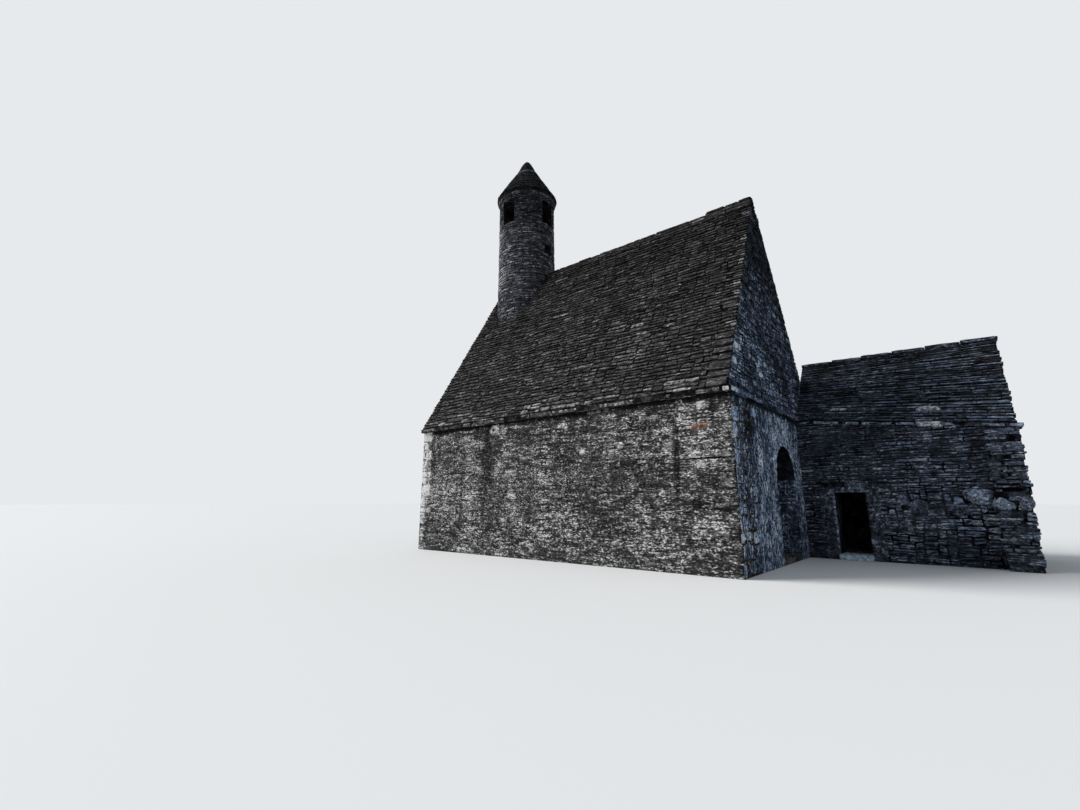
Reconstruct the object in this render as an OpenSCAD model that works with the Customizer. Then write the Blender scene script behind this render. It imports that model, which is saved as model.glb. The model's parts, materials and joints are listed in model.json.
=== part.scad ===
// A small stone-roofed chapel: a barrel-vaulted nave under a steep stepped roof, a round
// belfry astride the west end of the ridge, and a low sacristy against the east wall.
// X runs east, Y north and Z up. The origin is on the ground, at the middle of the nave.
// All sizes are in millimetres.

/* [Nave] */
// Length between the two gable faces at eaves level
nave_length = 9580; // [9000:10:11000]
// Width between the two side wall faces at eaves level
nave_width = 6690; // [6400:10:7400]
// Height of the walls, up to the eaves course
wall_height = 3520; // [3300:10:4000]
// Thickness of the nave walls
wall_thickness = 1070; // [900:10:1150]
// How far each wall face stands out at its foot
wall_batter = 30; // [10:5:80]
// How far each gable face leans in between the eaves and the ridge
gable_lean = 210; // [100:10:300]
// Thickness of the floor flags, and height of the door sills
floor_thickness = 120; // [80:10:180]

/* [Vault] */
// Height at which the barrel vault springs from its ledges
vault_spring = 2850; // [2600:10:2950]
// Thickness of the vault, and depth of the ledges that carry it
vault_thickness = 350; // [250:10:380]

/* [Nave roof] */
// Height of the top of the ridge stones between the belfry and the raised east end
ridge_height = 9400; // [9000:10:10000]
// How much higher the ridge stones stand at the east end
ridge_end_rise = 60; // [0:5:100]
// Number of ridge stones that stand higher
ridge_end_stones = 2; // [1:1:4]
// How much the other ridge stones differ in height
ridge_unevenness = 12; // [0:2:20]
// Thickness of the eaves course and of the gable courses
course_thickness = 100; // [70:5:140]
// How far the eaves course stands out from the side walls
eaves_projection = 90; // [60:5:140]
// How far the gable courses stand out from the gable walls
gable_projection = 60; // [30:5:100]
// How far the foot of the roof slope stands out from the side walls
roof_oversail = 50; // [20:5:55]
// Thickness of each roof slope, square to the slope
roof_thickness = 600; // [500:10:680]
// Thickness of the slope where it covers a gable
verge_thickness = 160; // [120:10:240]
// Number of stone courses in each slope
roof_courses = 40; // [30:1:50]
// How far the foot of each roof course stands out from the slope's root plane
course_lip = 28; // [20:1:40]
// How far the head of each roof course stands out from the slope's root plane
course_head = 8; // [4:1:14]
// Half of the width of the seat for the ridge stones
ridge_seat = 150; // [110:5:180]
// Number of ridge stones
ridge_stones = 10; // [6:1:12]
// Open joint between one ridge stone and the next
ridge_joint = 10; // [5:1:20]

/* [Chancel arch] */
// Radius of the arch soffit
arch_radius = 790; // [650:10:850]
// How far the middle of the arch lies north of the middle of the nave
arch_offset = 100; // [-100:10:200]
// Height at which the arch springs
arch_spring = 1920; // [1700:10:2000]
// Depth of the voussoirs
voussoir_depth = 280; // [200:10:320]
// Number of voussoirs
voussoir_count = 11; // [7:2:15]
// Open joint between one voussoir and the next
voussoir_joint = 10; // [5:1:15]

/* [West doorway] */
// Clear width at the sill
door_width = 860; // [750:10:950]
// How much narrower the doorway is at its head
door_taper = 80; // [0:10:120]
// Height of the door head above the ground
door_head = 1900; // [1800:10:2000]
// Length of the lintel
lintel_length = 1560; // [1300:10:1700]
// Height of the lintel
lintel_height = 320; // [250:10:380]

/* [Belfry] */
// Distance from the west end of the nave to the middle of the belfry
belfry_inset = 1290; // [1270:10:1600]
// Radius of the shaft at the sills of the bell openings
shaft_radius = 1010; // [950:5:1020]
// How much the radius grows from those sills down to the roof
shaft_taper = 30; // [10:5:40]
// Radius of the space inside
chamber_radius = 550; // [480:10:620]
// Height of the sills of the bell openings above the nave's ridge
bell_sill = 1960; // [1800:10:2300]
// Height of the bell openings
bell_height = 870; // [650:10:950]
// Width of the bell openings
bell_width = 530; // [400:10:600]
// Height of the stonework over the bell openings
head_height = 150; // [100:10:300]
// Height of the sill of the small east window above the nave's ridge
window_sill = 780; // [700:10:1100]
// Height of the small east window
window_height = 360; // [250:10:450]
// Width of the small east window
window_width = 340; // [250:10:400]
// How far the cornice stands out from the shaft
cornice_projection = 75; // [50:5:110]
// Height of the cornice
cornice_height = 230; // [180:10:280]
// Height of the splay under the cornice's upright face
cornice_splay = 120; // [60:10:150]
// Height of the cap from the cornice to its tip
cap_height = 1780; // [1500:10:1900]
// How far the foot of the cap stands out from the cornice
cap_oversail = 25; // [5:5:40]
// Height of the corbelled space inside the cap
cap_hollow = 700; // [500:10:800]
// Height of the top stone of the cap
tip_height = 460; // [350:10:600]
// Radius at the foot of the top stone
tip_radius = 290; // [230:10:340]
// Number of stone courses in the cap
cap_courses = 10; // [6:1:14]
// How far each cap course overhangs the one below
cap_lip = 14; // [8:1:20]
// Thickness of the top stone's upright foot
tip_foot = 40; // [20:5:60]
// Bluntness of the top stone: a plain cone at 1, rounder as it gets less
tip_bluntness = 0.6; // [0.4:0.05:0.9]

/* [Sacristy] */
// Length from the nave to the east face
sacristy_length = 4290; // [3900:10:4800]
// Width between the south and north faces
sacristy_width = 3580; // [3300:10:3900]
// Distance of the south face from the middle of the nave
sacristy_offset = 1590; // [1450:10:1800]
// Height of the top of the ridge slabs
sacristy_ridge = 5440; // [5200:10:5800]
// Height of the wall head at the nave
sacristy_eaves_west = 3450; // [3200:10:3460]
// Height of the wall head at the east end
sacristy_eaves_east = 2990; // [2900:10:3150]
// Thickness of the south, north and east walls
sacristy_wall = 700; // [600:10:800]
// Thickness of the west wall at its head
sacristy_west_wall_thickness = 460; // [380:10:520]
// Thickness of the eaves slabs
slab_thickness = 60; // [40:5:80]
// How far the eaves slabs stand out from the walls
slab_projection = 60; // [40:5:100]
// Thickness of each roof slope at the east end, square to the slope
sacristy_roof_thickness = 300; // [220:10:340]
// Number of stone courses in each slope
sacristy_courses = 20; // [12:1:24]
// How far each course overhangs the one below
sacristy_lip = 26; // [15:1:35]
// Thickness of the ridge slabs at their west ends
ridge_slab_thickness = 90; // [60:5:120]
// How much the top of each ridge slab falls from its west end to its east end
ridge_slab_fall = 30; // [0:5:50]
// Width of the ridge slabs
ridge_slab_width = 280; // [200:10:360]
// Number of ridge slabs
ridge_slabs = 6; // [4:1:8]

/* [Sacristy doorway] */
// Distance from the nave to the west side of the doorway
priest_door_offset = 730; // [700:10:900]
// Clear width at the sill
priest_door_width = 690; // [600:10:760]
// How much narrower the doorway is at its head
priest_door_taper = 40; // [0:10:80]
// Height of the door head above the ground
priest_door_head = 1625; // [1500:5:1750]
// Height of the lintel
priest_lintel_height = 250; // [200:10:300]
// Width of the stones on each side of the doorway
jamb_width = 250; // [200:10:300]
// How far the threshold stands out from the wall
threshold_projection = 150; // [80:10:220]

/* [Broken chancel wall] */
// Thickness of the broken wall that is left at the sacristy's corner
stub_thickness = 520; // [450:10:600]
// How far the broken wall reaches south where it is widest
stub_reach = 330; // [250:10:420]
// Number of stone courses in the broken wall
stub_courses = 22; // [16:1:28]
// How deep each of its courses is bedded into the one below
stub_bedding = 5; // [2:1:10]

/* [Hidden] */
$fn = 96;
EXTRA = 500;
HALF_L = nave_length / 2;
HALF_W = nave_width / 2;
INNER_X = HALF_L - wall_thickness;
INNER_Y = HALF_W - wall_thickness;
VAULT_R = INNER_Y + vault_thickness;

ROOF_FOOT = HALF_W + roof_oversail;
ROOF_Z = wall_height + course_thickness;
RIDGE_END_Z = ridge_height + ridge_end_rise;
RIDGE_BLOCK = 55;
RIDGE_TOP = 40;
APEX_Z = ridge_height - RIDGE_TOP;
ROOF_ANGLE = atan((APEX_Z - ROOF_Z) / ROOF_FOOT);
SEAT_SHARE = 1 - ridge_seat / ROOF_FOOT;
SEAT_Z = ROOF_Z + (APEX_Z - ROOF_Z) * SEAT_SHARE;

ARCH_OUTER = arch_radius + voussoir_depth;
BELFRY_X = -HALF_L + belfry_inset;
SHAFT_FOOT = ROOF_Z + (APEX_Z - ROOF_Z) * (1 - (shaft_radius + shaft_taper) / ROOF_FOOT) - EXTRA;
WINDOW_Z = ridge_height + window_sill;
BELL_Z = ridge_height + bell_sill;
BELL_HEAD = BELL_Z + bell_height;
CORNICE_Z = BELL_HEAD + head_height;
CAP_Z = CORNICE_Z + cornice_height;
CORNICE_R = shaft_radius + cornice_projection;
CAP_R = CORNICE_R + cap_oversail;
TIP_Z = CAP_Z + cap_height - tip_height;
TIP_STEPS = 8;

SAC_X = HALF_L + sacristy_length;
SAC_S = sacristy_offset;
SAC_N = SAC_S + sacristy_width;
SAC_MID = SAC_S + sacristy_width / 2;
SAC_IN_X0 = HALF_L + sacristy_west_wall_thickness;
SAC_IN_X1 = SAC_X - sacristy_wall;
SAC_IN_S = SAC_S + sacristy_wall;
SAC_IN_N = SAC_N - sacristy_wall;
SAC_FOOT = sacristy_width / 2 + slab_projection - 10;
SAC_APEX = sacristy_ridge;
SAC_SEAT = SAC_APEX - ridge_slab_thickness;
SAC_EAST_Z = sacristy_eaves_east + slab_thickness;
SAC_ANGLE = atan((SAC_APEX - SAC_EAST_Z) / SAC_FOOT);
DOOR_X0 = HALF_L + priest_door_offset;
DOOR_X1 = DOOR_X0 + priest_door_width;
JAMB_X1 = DOOR_X1 + jamb_width;
LINTEL_Z = priest_door_head + priest_lintel_height;

// A box between two corners
module block(low, high) {
    translate(low) cube(high - low);
}

// An outline in Y and Z, drawn along X from x0 to x1
module along_x(outline, x0, x1) {
    translate([x0, 0, 0]) rotate([90, 0, 90]) linear_extrude(height = x1 - x0) polygon(outline);
}

// An outline in X and Z, drawn along Y from y0 to y1
module along_y(outline, y0, y1) {
    translate([0, y1, 0]) rotate([90, 0, 0]) linear_extrude(height = y1 - y0) polygon(outline);
}

// A solid between one outline in Y and Z at x0 and a like one at x1
module loft_x(outline0, outline1, x0, x1) {
    n = len(outline0);
    points = concat([for (p = outline0) [x0, p[0], p[1]]], [for (p = outline1) [x1, p[0], p[1]]]);
    sides = [for (k = [0 : n - 1], half = [0, 1])
        half == 0 ? [k, n + k, n + (k + 1) % n] : [k, n + (k + 1) % n, (k + 1) % n]];
    ends = [[for (k = [0 : n - 1]) k], [for (k = [n - 1 : -1 : 0]) n + k]];
    polyhedron(points = points, faces = concat(ends, sides));
}

// A steady wobble between -1 and 1, for work that is meant to look uneven
function wobble(i, seed) = sin(i * 137.5 + seed * 71.3) * 0.6 + sin(i * 61.7 + seed * 29.1) * 0.4;

// A point on the root line of the south slope: t is 0 at its foot and 1 at the apex
function root_point(t) = [-ROOF_FOOT * (1 - t), ROOF_Z + (APEX_Z - ROOF_Z) * t];
function roof_inset(depth) = depth / sin(ROOF_ANGLE);
function roof_drop(depth) = depth / cos(ROOF_ANGLE);

// Everything below the eaves course, with battered faces and no openings
module wall_mass() {
    intersection() {
        along_x([[-HALF_W - wall_batter, 0], [HALF_W + wall_batter, 0],
            [HALF_W, wall_height], [-HALF_W, wall_height]], -HALF_L - EXTRA, HALF_L + EXTRA);
        along_y([[-HALF_L - wall_batter, 0], [HALF_L + wall_batter, 0],
            [HALF_L, wall_height], [-HALF_L, wall_height]], -HALF_W - EXTRA, HALF_W + EXTRA);
    }
}

// The space between the two leaning gable faces, above the courses
module gable_mass() {
    along_y([[-HALF_L, ROOF_Z], [HALF_L, ROOF_Z], [HALF_L - gable_lean, RIDGE_END_Z],
        [-HALF_L + gable_lean, RIDGE_END_Z]], -HALF_W - EXTRA, HALF_W + EXTRA);
}

// The triangle of a gable, under its covering stones, from x0 to x1
module gable_triangle(x0, x1) {
    foot = ROOF_FOOT - roof_inset(verge_thickness);
    along_x([[-foot, ROOF_Z], [foot, ROOF_Z], [0, APEX_Z - roof_drop(verge_thickness)]], x0, x1);
}

// Both slopes as plain planes, up to the seat of the ridge stones
module plain_roof() {
    along_x([[-ROOF_FOOT, ROOF_Z], [ROOF_FOOT, ROOF_Z], [ridge_seat, SEAT_Z], [-ridge_seat, SEAT_Z]],
        -HALF_L - EXTRA, HALF_L + EXTRA);
}

// The outside of the shaft as a solid, cut to sit astride the roof
module shaft_mass() {
    difference() {
        translate([BELFRY_X, 0, SHAFT_FOOT])
            cylinder(h = BELL_Z - SHAFT_FOOT, r1 = shaft_radius + shaft_taper, r2 = shaft_radius);
        plain_roof();
    }
}

module nave_floor() {
    color("dimgray") difference() {
        intersection() {
            wall_mass();
            union() {
                block([-INNER_X, -INNER_Y, 0], [INNER_X, INNER_Y, floor_thickness]);
                block([0, arch_offset - arch_radius, 0],
                    [HALF_L + EXTRA, arch_offset + arch_radius, floor_thickness]);
                block([-HALF_L - EXTRA, -door_width / 2, 0], [0, door_width / 2, floor_thickness]);
            }
        }
        nave_west_wall_side();
        mirror([0, 1, 0]) nave_west_wall_side();
    }
}

// The south side wall, whose head is cut back to a ledge for the vault
module nave_side_wall() {
    difference() {
        intersection() {
            wall_mass();
            block([-HALF_L - EXTRA, -HALF_W - EXTRA, 0], [HALF_L + EXTRA, -INNER_Y, wall_height]);
        }
        intersection() {
            translate([-INNER_X, 0, vault_spring]) rotate([0, 90, 0]) cylinder(h = 2 * INNER_X, r = VAULT_R);
            block([-INNER_X, -HALF_W, vault_spring], [INNER_X, 0, wall_height + EXTRA]);
        }
    }
}

module nave_south_wall() {
    color("gray") nave_side_wall();
}

module nave_north_wall() {
    color("gray") mirror([0, 1, 0]) nave_side_wall();
}

module nave_east_wall_south() {
    color("slategray") intersection() {
        wall_mass();
        block([INNER_X, -INNER_Y, 0], [HALF_L + EXTRA, arch_offset - arch_radius, arch_spring]);
    }
}

module nave_east_wall_north() {
    color("slategray") intersection() {
        wall_mass();
        block([INNER_X, arch_offset + arch_radius, 0], [HALF_L + EXTRA, INNER_Y, arch_spring]);
    }
}

module nave_east_wall_head() {
    color("slategray") difference() {
        intersection() {
            wall_mass();
            block([INNER_X, -INNER_Y, arch_spring], [HALF_L + EXTRA, INNER_Y, wall_height]);
        }
        translate([INNER_X - 1, arch_offset, arch_spring]) rotate([0, 90, 0])
            cylinder(h = wall_thickness + EXTRA, r = ARCH_OUTER);
    }
}

// One voussoir, between two angles that are counted from the north springing
module voussoir(from, to) {
    reach = 2 * ARCH_OUTER;
    intersection() {
        wall_mass();
        translate([0, arch_offset, arch_spring]) difference() {
            intersection() {
                translate([INNER_X, 0, 0]) rotate([0, 90, 0])
                    cylinder(h = wall_thickness + EXTRA, r = ARCH_OUTER);
                along_x([[0, 0], [reach * cos(from), reach * sin(from)], [reach * cos(to), reach * sin(to)]],
                    INNER_X, HALF_L + EXTRA);
            }
            translate([INNER_X - 1, 0, 0]) rotate([0, 90, 0])
                cylinder(h = wall_thickness + 2 * EXTRA, r = arch_radius);
        }
    }
}

module chancel_arch_voussoirs() {
    step = 180 / voussoir_count;
    gap = voussoir_joint / 2 / (arch_radius + voussoir_depth / 2) * 180 / PI;
    color("lightslategray") for (i = [0 : voussoir_count - 1])
        voussoir(i == 0 ? 0 : i * step + gap, i == voussoir_count - 1 ? 180 : (i + 1) * step - gap);
}

// The west wall south of the doorway, with a leaning jamb and a notch for the lintel
module nave_west_wall_side() {
    sill = door_width / 2;
    head = sill - door_taper / 2;
    top = door_head + lintel_height;
    intersection() {
        wall_mass();
        along_x([[-INNER_Y, 0], [-sill, 0], [-head, door_head], [-lintel_length / 2, door_head],
            [-lintel_length / 2, top], [-INNER_Y, top]], -HALF_L - EXTRA, -INNER_X);
    }
}

module nave_west_wall_south() {
    color("slategray") nave_west_wall_side();
}

module nave_west_wall_north() {
    color("slategray") mirror([0, 1, 0]) nave_west_wall_side();
}

module nave_west_wall_head() {
    color("slategray") intersection() {
        wall_mass();
        block([-HALF_L - EXTRA, -INNER_Y, door_head + lintel_height], [-INNER_X, INNER_Y, wall_height]);
    }
}

module west_door_lintel() {
    color("lightslategray") intersection() {
        wall_mass();
        block([-HALF_L - EXTRA, -lintel_length / 2, door_head],
            [-INNER_X, lintel_length / 2, door_head + lintel_height]);
    }
}

module nave_vault() {
    color("gray") intersection() {
        translate([0, 0, vault_spring]) rotate([0, 90, 0]) difference() {
            translate([0, 0, -INNER_X]) cylinder(h = 2 * INNER_X, r = VAULT_R);
            translate([0, 0, -INNER_X - 1]) cylinder(h = 2 * INNER_X + 2, r = INNER_Y);
        }
        block([-INNER_X, -VAULT_R, vault_spring], [INNER_X, VAULT_R, vault_spring + VAULT_R]);
    }
}

module eaves_course_south() {
    color("darkgray")
        block([-HALF_L - gable_projection, -HALF_W - eaves_projection, wall_height],
            [HALF_L + gable_projection, -VAULT_R, ROOF_Z]);
}

module eaves_course_north() {
    color("darkgray")
        block([-HALF_L - gable_projection, VAULT_R, wall_height],
            [HALF_L, HALF_W + eaves_projection, ROOF_Z]);
}

// The course stops standing out where the sacristy meets the gable
module gable_course_east() {
    color("darkgray") union() {
        block([INNER_X, -VAULT_R, wall_height], [HALF_L, VAULT_R, ROOF_Z]);
        block([HALF_L - 1, -VAULT_R, wall_height],
            [HALF_L + gable_projection, SAC_MID - SAC_FOOT - sacristy_lip, ROOF_Z]);
    }
}

module gable_course_west() {
    color("darkgray") block([-HALF_L - gable_projection, -VAULT_R, wall_height], [-INNER_X, VAULT_R, ROOF_Z]);
}

module nave_east_gable() {
    color("slategray") intersection() {
        gable_mass();
        gable_triangle(INNER_X, HALF_L);
    }
}

module nave_west_gable() {
    color("slategray") mirror([1, 0, 0]) intersection() {
        gable_mass();
        gable_triangle(INNER_X, HALF_L);
    }
}

// The south slope: each stone course leans out a little over the one below
module nave_roof_slope() {
    out = [-sin(ROOF_ANGLE), cos(ROOF_ANGLE)];
    share = SEAT_SHARE / roof_courses;
    steps = [for (i = [0 : roof_courses - 1], edge = [0, 1])
        root_point((i + edge) * share) + out * (edge == 0 ? course_lip : course_head)];
    outline = concat([root_point(0)], steps,
        [root_point(SEAT_SHARE), [0, SEAT_Z], [0, APEX_Z - roof_drop(roof_thickness)],
            [-ROOF_FOOT + roof_inset(roof_thickness), ROOF_Z]]);
    difference() {
        intersection() {
            gable_mass();
            along_x(outline, -HALF_L, HALF_L);
        }
        gable_triangle(INNER_X, HALF_L + EXTRA);
        gable_triangle(-HALF_L - EXTRA, -INNER_X);
        shaft_mass();
    }
}

module nave_roof_south() {
    color("darkslategray") nave_roof_slope();
}

module nave_roof_north() {
    color("darkslategray") mirror([0, 1, 0]) nave_roof_slope();
}

// Section of a ridge stone that stands higher than the ridge by a given rise
function ridge_outline(rise) =
    let (side = ridge_seat + course_lip)
    [[-side, SEAT_Z], [side, SEAT_Z], [side, SEAT_Z + RIDGE_BLOCK + rise], [RIDGE_TOP, ridge_height + rise],
        [-RIDGE_TOP, ridge_height + rise], [-side, SEAT_Z + RIDGE_BLOCK + rise]];

// House-shaped blocks along the ridge, from the belfry to the raised ones at the east gable
module nave_ridge_stones() {
    start = BELFRY_X + shaft_radius + shaft_taper + ridge_joint;
    pitch = (HALF_L - start) / ridge_stones;
    raised = ridge_stones - ridge_end_stones;
    color("dimgray") intersection() {
        gable_mass();
        for (i = [0 : ridge_stones - 1])
            along_x(ridge_outline(i < raised ? ridge_unevenness * wobble(i, 4) : ridge_end_rise),
                start + i * pitch, start + (i + 1) * pitch - (i < ridge_stones - 1 ? ridge_joint : 0));
    }
}

// A quarter of the shaft wall, centred on the given bearing
module shaft_quarter(turn) {
    reach = 2 * (shaft_radius + shaft_taper);
    intersection() {
        difference() {
            shaft_mass();
            translate([BELFRY_X, 0, SHAFT_FOOT - 1]) cylinder(h = BELL_Z, r = chamber_radius);
            block([BELFRY_X, -window_width / 2, WINDOW_Z],
                [BELFRY_X + reach, window_width / 2, WINDOW_Z + window_height]);
        }
        translate([BELFRY_X, 0, 0]) rotate([0, 0, turn])
            linear_extrude(height = BELL_Z) polygon([[0, 0], [reach, -reach], [reach, reach]]);
    }
}

module belfry_shaft_east() {
    color("slategray") shaft_quarter(0);
}

module belfry_shaft_north() {
    color("slategray") shaft_quarter(90);
}

module belfry_shaft_west() {
    color("slategray") shaft_quarter(180);
}

module belfry_shaft_south() {
    color("slategray") shaft_quarter(270);
}

// A ring of the belfry wall between two heights
module belfry_ring(low, high) {
    translate([BELFRY_X, 0, 0]) difference() {
        translate([0, 0, low]) cylinder(h = high - low, r = shaft_radius);
        translate([0, 0, low - 1]) cylinder(h = high - low + 2, r = chamber_radius);
    }
}

// The four piers that are left between the bell openings
module belfry_piers() {
    reach = 2 * shaft_radius;
    color("slategray") difference() {
        belfry_ring(BELL_Z, BELL_HEAD);
        block([BELFRY_X - reach, -bell_width / 2, BELL_Z - 1],
            [BELFRY_X + reach, bell_width / 2, BELL_HEAD + 1]);
        block([BELFRY_X - bell_width / 2, -reach, BELL_Z - 1],
            [BELFRY_X + bell_width / 2, reach, BELL_HEAD + 1]);
    }
}

module belfry_head_ring() {
    color("slategray") belfry_ring(BELL_HEAD, CORNICE_Z);
}

module belfry_cornice() {
    color("dimgray") translate([BELFRY_X, 0, CORNICE_Z]) rotate_extrude()
        polygon([[chamber_radius, 0], [shaft_radius, 0], [CORNICE_R, cornice_splay],
            [CORNICE_R, cornice_height], [chamber_radius, cornice_height]]);
}

// The conical cap: courses that overhang one another outside, and a corbelled cone inside
module belfry_cap() {
    rise = TIP_Z - CAP_Z;
    steps = [for (i = [0 : cap_courses - 1], edge = [0, 1])
        [CAP_R + (tip_radius - CAP_R) * (i + edge) / cap_courses + (edge == 0 ? cap_lip : 0),
            rise * (i + edge) / cap_courses]];
    color("darkslategray") translate([BELFRY_X, 0, CAP_Z]) rotate_extrude()
        polygon(concat(steps, [[0, rise], [0, cap_hollow], [chamber_radius, 0]]));
}

// The top stone: an upright foot and a blunt cone over it
module belfry_cap_stone() {
    foot = tip_radius + cap_lip;
    cone = [for (i = [0 : TIP_STEPS])
        let (t = sin(90 * i / TIP_STEPS))
        [foot * pow(1 - t, tip_bluntness), tip_foot + (tip_height - tip_foot) * t]];
    color("darkslategray") translate([BELFRY_X, 0, TIP_Z]) rotate_extrude()
        polygon(concat([[0, 0], [foot, 0]], cone));
}

// The space that the nave fills, east face included, which the sacristy is built against
module nave_space() {
    far = HALF_L - 2 * EXTRA;
    along_y([[far, -EXTRA], [HALF_L + wall_batter, -EXTRA], [HALF_L + wall_batter, 0], [HALF_L, wall_height],
        [HALF_L, ROOF_Z], [HALF_L - gable_lean, RIDGE_END_Z], [far, RIDGE_END_Z]], -HALF_W, SAC_N + EXTRA);
}

// Height of the sacristy's wall head, which falls from the nave to the east end
function eaves_z(x) =
    sacristy_eaves_west + (sacristy_eaves_east - sacristy_eaves_west) * (x - HALF_L) / sacristy_length;

// Everything of the sacristy's plan below the wall head, between two ends and two sides
module under_eaves(x0, x1, y0, y1) {
    along_y([[x0, 0], [x1, 0], [x1, eaves_z(x1)], [x0, eaves_z(x0)]], y0, y1);
}

// The layer of the eaves slabs, between two ends and two sides
module slab_layer(x0, x1, y0, y1) {
    along_y([[x0, eaves_z(x0)], [x1, eaves_z(x1)], [x1, eaves_z(x1) + slab_thickness],
        [x0, eaves_z(x0) + slab_thickness]], y0, y1);
}

// Underside of the sacristy's roof: z at a distance from the ridge line
SAC_INNER_APEX = SAC_APEX - sacristy_roof_thickness / cos(SAC_ANGLE);
function inner_z(away) = SAC_INNER_APEX - away * tan(SAC_ANGLE);
function inner_away(z) = (SAC_INNER_APEX - z) / tan(SAC_ANGLE);

// An end wall with its gable, between x0 and x1
module sacristy_end_wall(x0, x1) {
    half = sacristy_width / 2;
    union() {
        under_eaves(x0, x1, SAC_S, SAC_N);
        difference() {
            along_x([[SAC_MID - half, 0], [SAC_MID + half, 0], [SAC_MID + half, inner_z(half)],
                [SAC_MID, SAC_INNER_APEX], [SAC_MID - half, inner_z(half)]], x0, x1);
            slab_layer(x0 - EXTRA, x1 + EXTRA, SAC_S - EXTRA, SAC_IN_S);
            slab_layer(x0 - EXTRA, x1 + EXTRA, SAC_IN_N, SAC_N + EXTRA);
        }
    }
}

module sacristy_floor() {
    color("dimgray") block([SAC_IN_X0, SAC_IN_S, 0], [SAC_IN_X1, SAC_IN_N, floor_thickness]);
}

module sacristy_threshold() {
    color("gainsboro")
        block([DOOR_X0, SAC_S - threshold_projection, 0], [DOOR_X1, SAC_IN_S, floor_thickness]);
}

// The upright stones on each side of the doorway
module sacristy_door_jambs() {
    lean = priest_door_taper / 2;
    color("slategray") {
        along_y([[SAC_IN_X0, 0], [DOOR_X0, 0], [DOOR_X0, floor_thickness], [DOOR_X0 + lean, priest_door_head],
            [SAC_IN_X0, priest_door_head]], SAC_S, SAC_IN_S);
        along_y([[DOOR_X1, 0], [JAMB_X1, 0], [JAMB_X1, priest_door_head], [DOOR_X1 - lean, priest_door_head],
            [DOOR_X1, floor_thickness]], SAC_S, SAC_IN_S);
    }
}

module sacristy_door_lintel() {
    color("slategray") block([SAC_IN_X0, SAC_S, priest_door_head], [JAMB_X1, SAC_IN_S, LINTEL_Z]);
}

module sacristy_wall_over_door() {
    color("darkslategray") difference() {
        under_eaves(SAC_IN_X0, JAMB_X1, SAC_S, SAC_IN_S);
        block([0, 0, 0], [SAC_X, SAC_N, LINTEL_Z]);
    }
}

module sacristy_south_wall() {
    color("darkslategray") under_eaves(JAMB_X1, SAC_IN_X1, SAC_S, SAC_IN_S);
}

module sacristy_north_wall() {
    color("darkslategray") under_eaves(SAC_IN_X0, SAC_IN_X1, SAC_IN_N, SAC_N);
}

module sacristy_west_wall() {
    color("darkslategray") difference() {
        sacristy_end_wall(HALF_L - gable_lean, SAC_IN_X0);
        nave_space();
    }
}

module sacristy_east_wall() {
    color("darkslategray") sacristy_end_wall(SAC_IN_X1, SAC_X);
}

module sacristy_eaves_slabs() {
    color("darkgray") difference() {
        union() {
            slab_layer(HALF_L - gable_lean, SAC_X + 2 * slab_projection, SAC_S - slab_projection, SAC_IN_S);
            slab_layer(HALF_L - gable_lean, SAC_X + slab_projection, SAC_IN_N, SAC_N + slab_projection);
        }
        nave_space();
    }
}

// The outline of the south slope at x: the courses fan out as the eaves fall to the east
function sacristy_outline(x) =
    let (z0 = eaves_z(x) + slab_thickness,
        rise = SAC_APEX - z0,
        angle = atan(rise / SAC_FOOT),
        top = (SAC_SEAT - z0) / rise,
        out = [-sin(angle), cos(angle)] * sacristy_lip)
    concat([[SAC_MID - inner_away(z0), z0], [SAC_MID - SAC_FOOT, z0]],
        [for (i = [0 : sacristy_courses - 1], edge = [0, 1])
            let (t = (i + edge) / sacristy_courses * top)
            [SAC_MID - SAC_FOOT * (1 - t), z0 + rise * t] + (edge == 0 ? out : [0, 0])],
        [[SAC_MID, SAC_SEAT], [SAC_MID, SAC_INNER_APEX]]);

function backwards(list) = [for (k = [len(list) - 1 : -1 : 0]) list[k]];

module sacristy_roof_slope() {
    x0 = HALF_L - gable_lean;
    difference() {
        loft_x(backwards(sacristy_outline(x0)), backwards(sacristy_outline(SAC_X)), x0, SAC_X);
        nave_space();
    }
}

module sacristy_roof_south() {
    color("darkslategray") sacristy_roof_slope();
}

module sacristy_roof_north() {
    color("darkslategray") translate([0, 2 * SAC_MID, 0]) mirror([0, 1, 0]) sacristy_roof_slope();
}

// Long slabs along the sacristy's ridge, each a little lower at its east end
module sacristy_ridge_slabs() {
    pitch = (sacristy_length + slab_projection) / ridge_slabs;
    color("dimgray") difference() {
        for (i = [0 : ridge_slabs - 1])
            let (x0 = i == 0 ? HALF_L - gable_lean : HALF_L + i * pitch + ridge_joint,
                x1 = HALF_L + (i + 1) * pitch)
            along_y([[x0, SAC_SEAT], [x1, SAC_SEAT], [x1, SAC_APEX - ridge_slab_fall], [x0, SAC_APEX]],
                SAC_MID - ridge_slab_width / 2, SAC_MID + ridge_slab_width / 2);
        nave_space();
    }
}

// The torn end of the lost chancel's wall: rough courses that step in and out
module broken_chancel_wall() {
    top = eaves_z(SAC_X) - slab_thickness;
    rise = top / stub_courses;
    color("darkslategray") union() for (i = [0 : stub_courses - 1]) {
        reach = stub_reach * (0.72 - 0.35 * i / stub_courses + 0.28 * wobble(i, 1));
        west = 45 * wobble(i, 2);
        east = 30 + 25 * wobble(i, 3);
        seat = i == 0 ? 0 : stub_bedding;
        block([SAC_X - stub_thickness + west, SAC_S - reach, i * rise - seat],
            [SAC_X + east, SAC_S, (i + 1) * rise]);
    }
}

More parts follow.
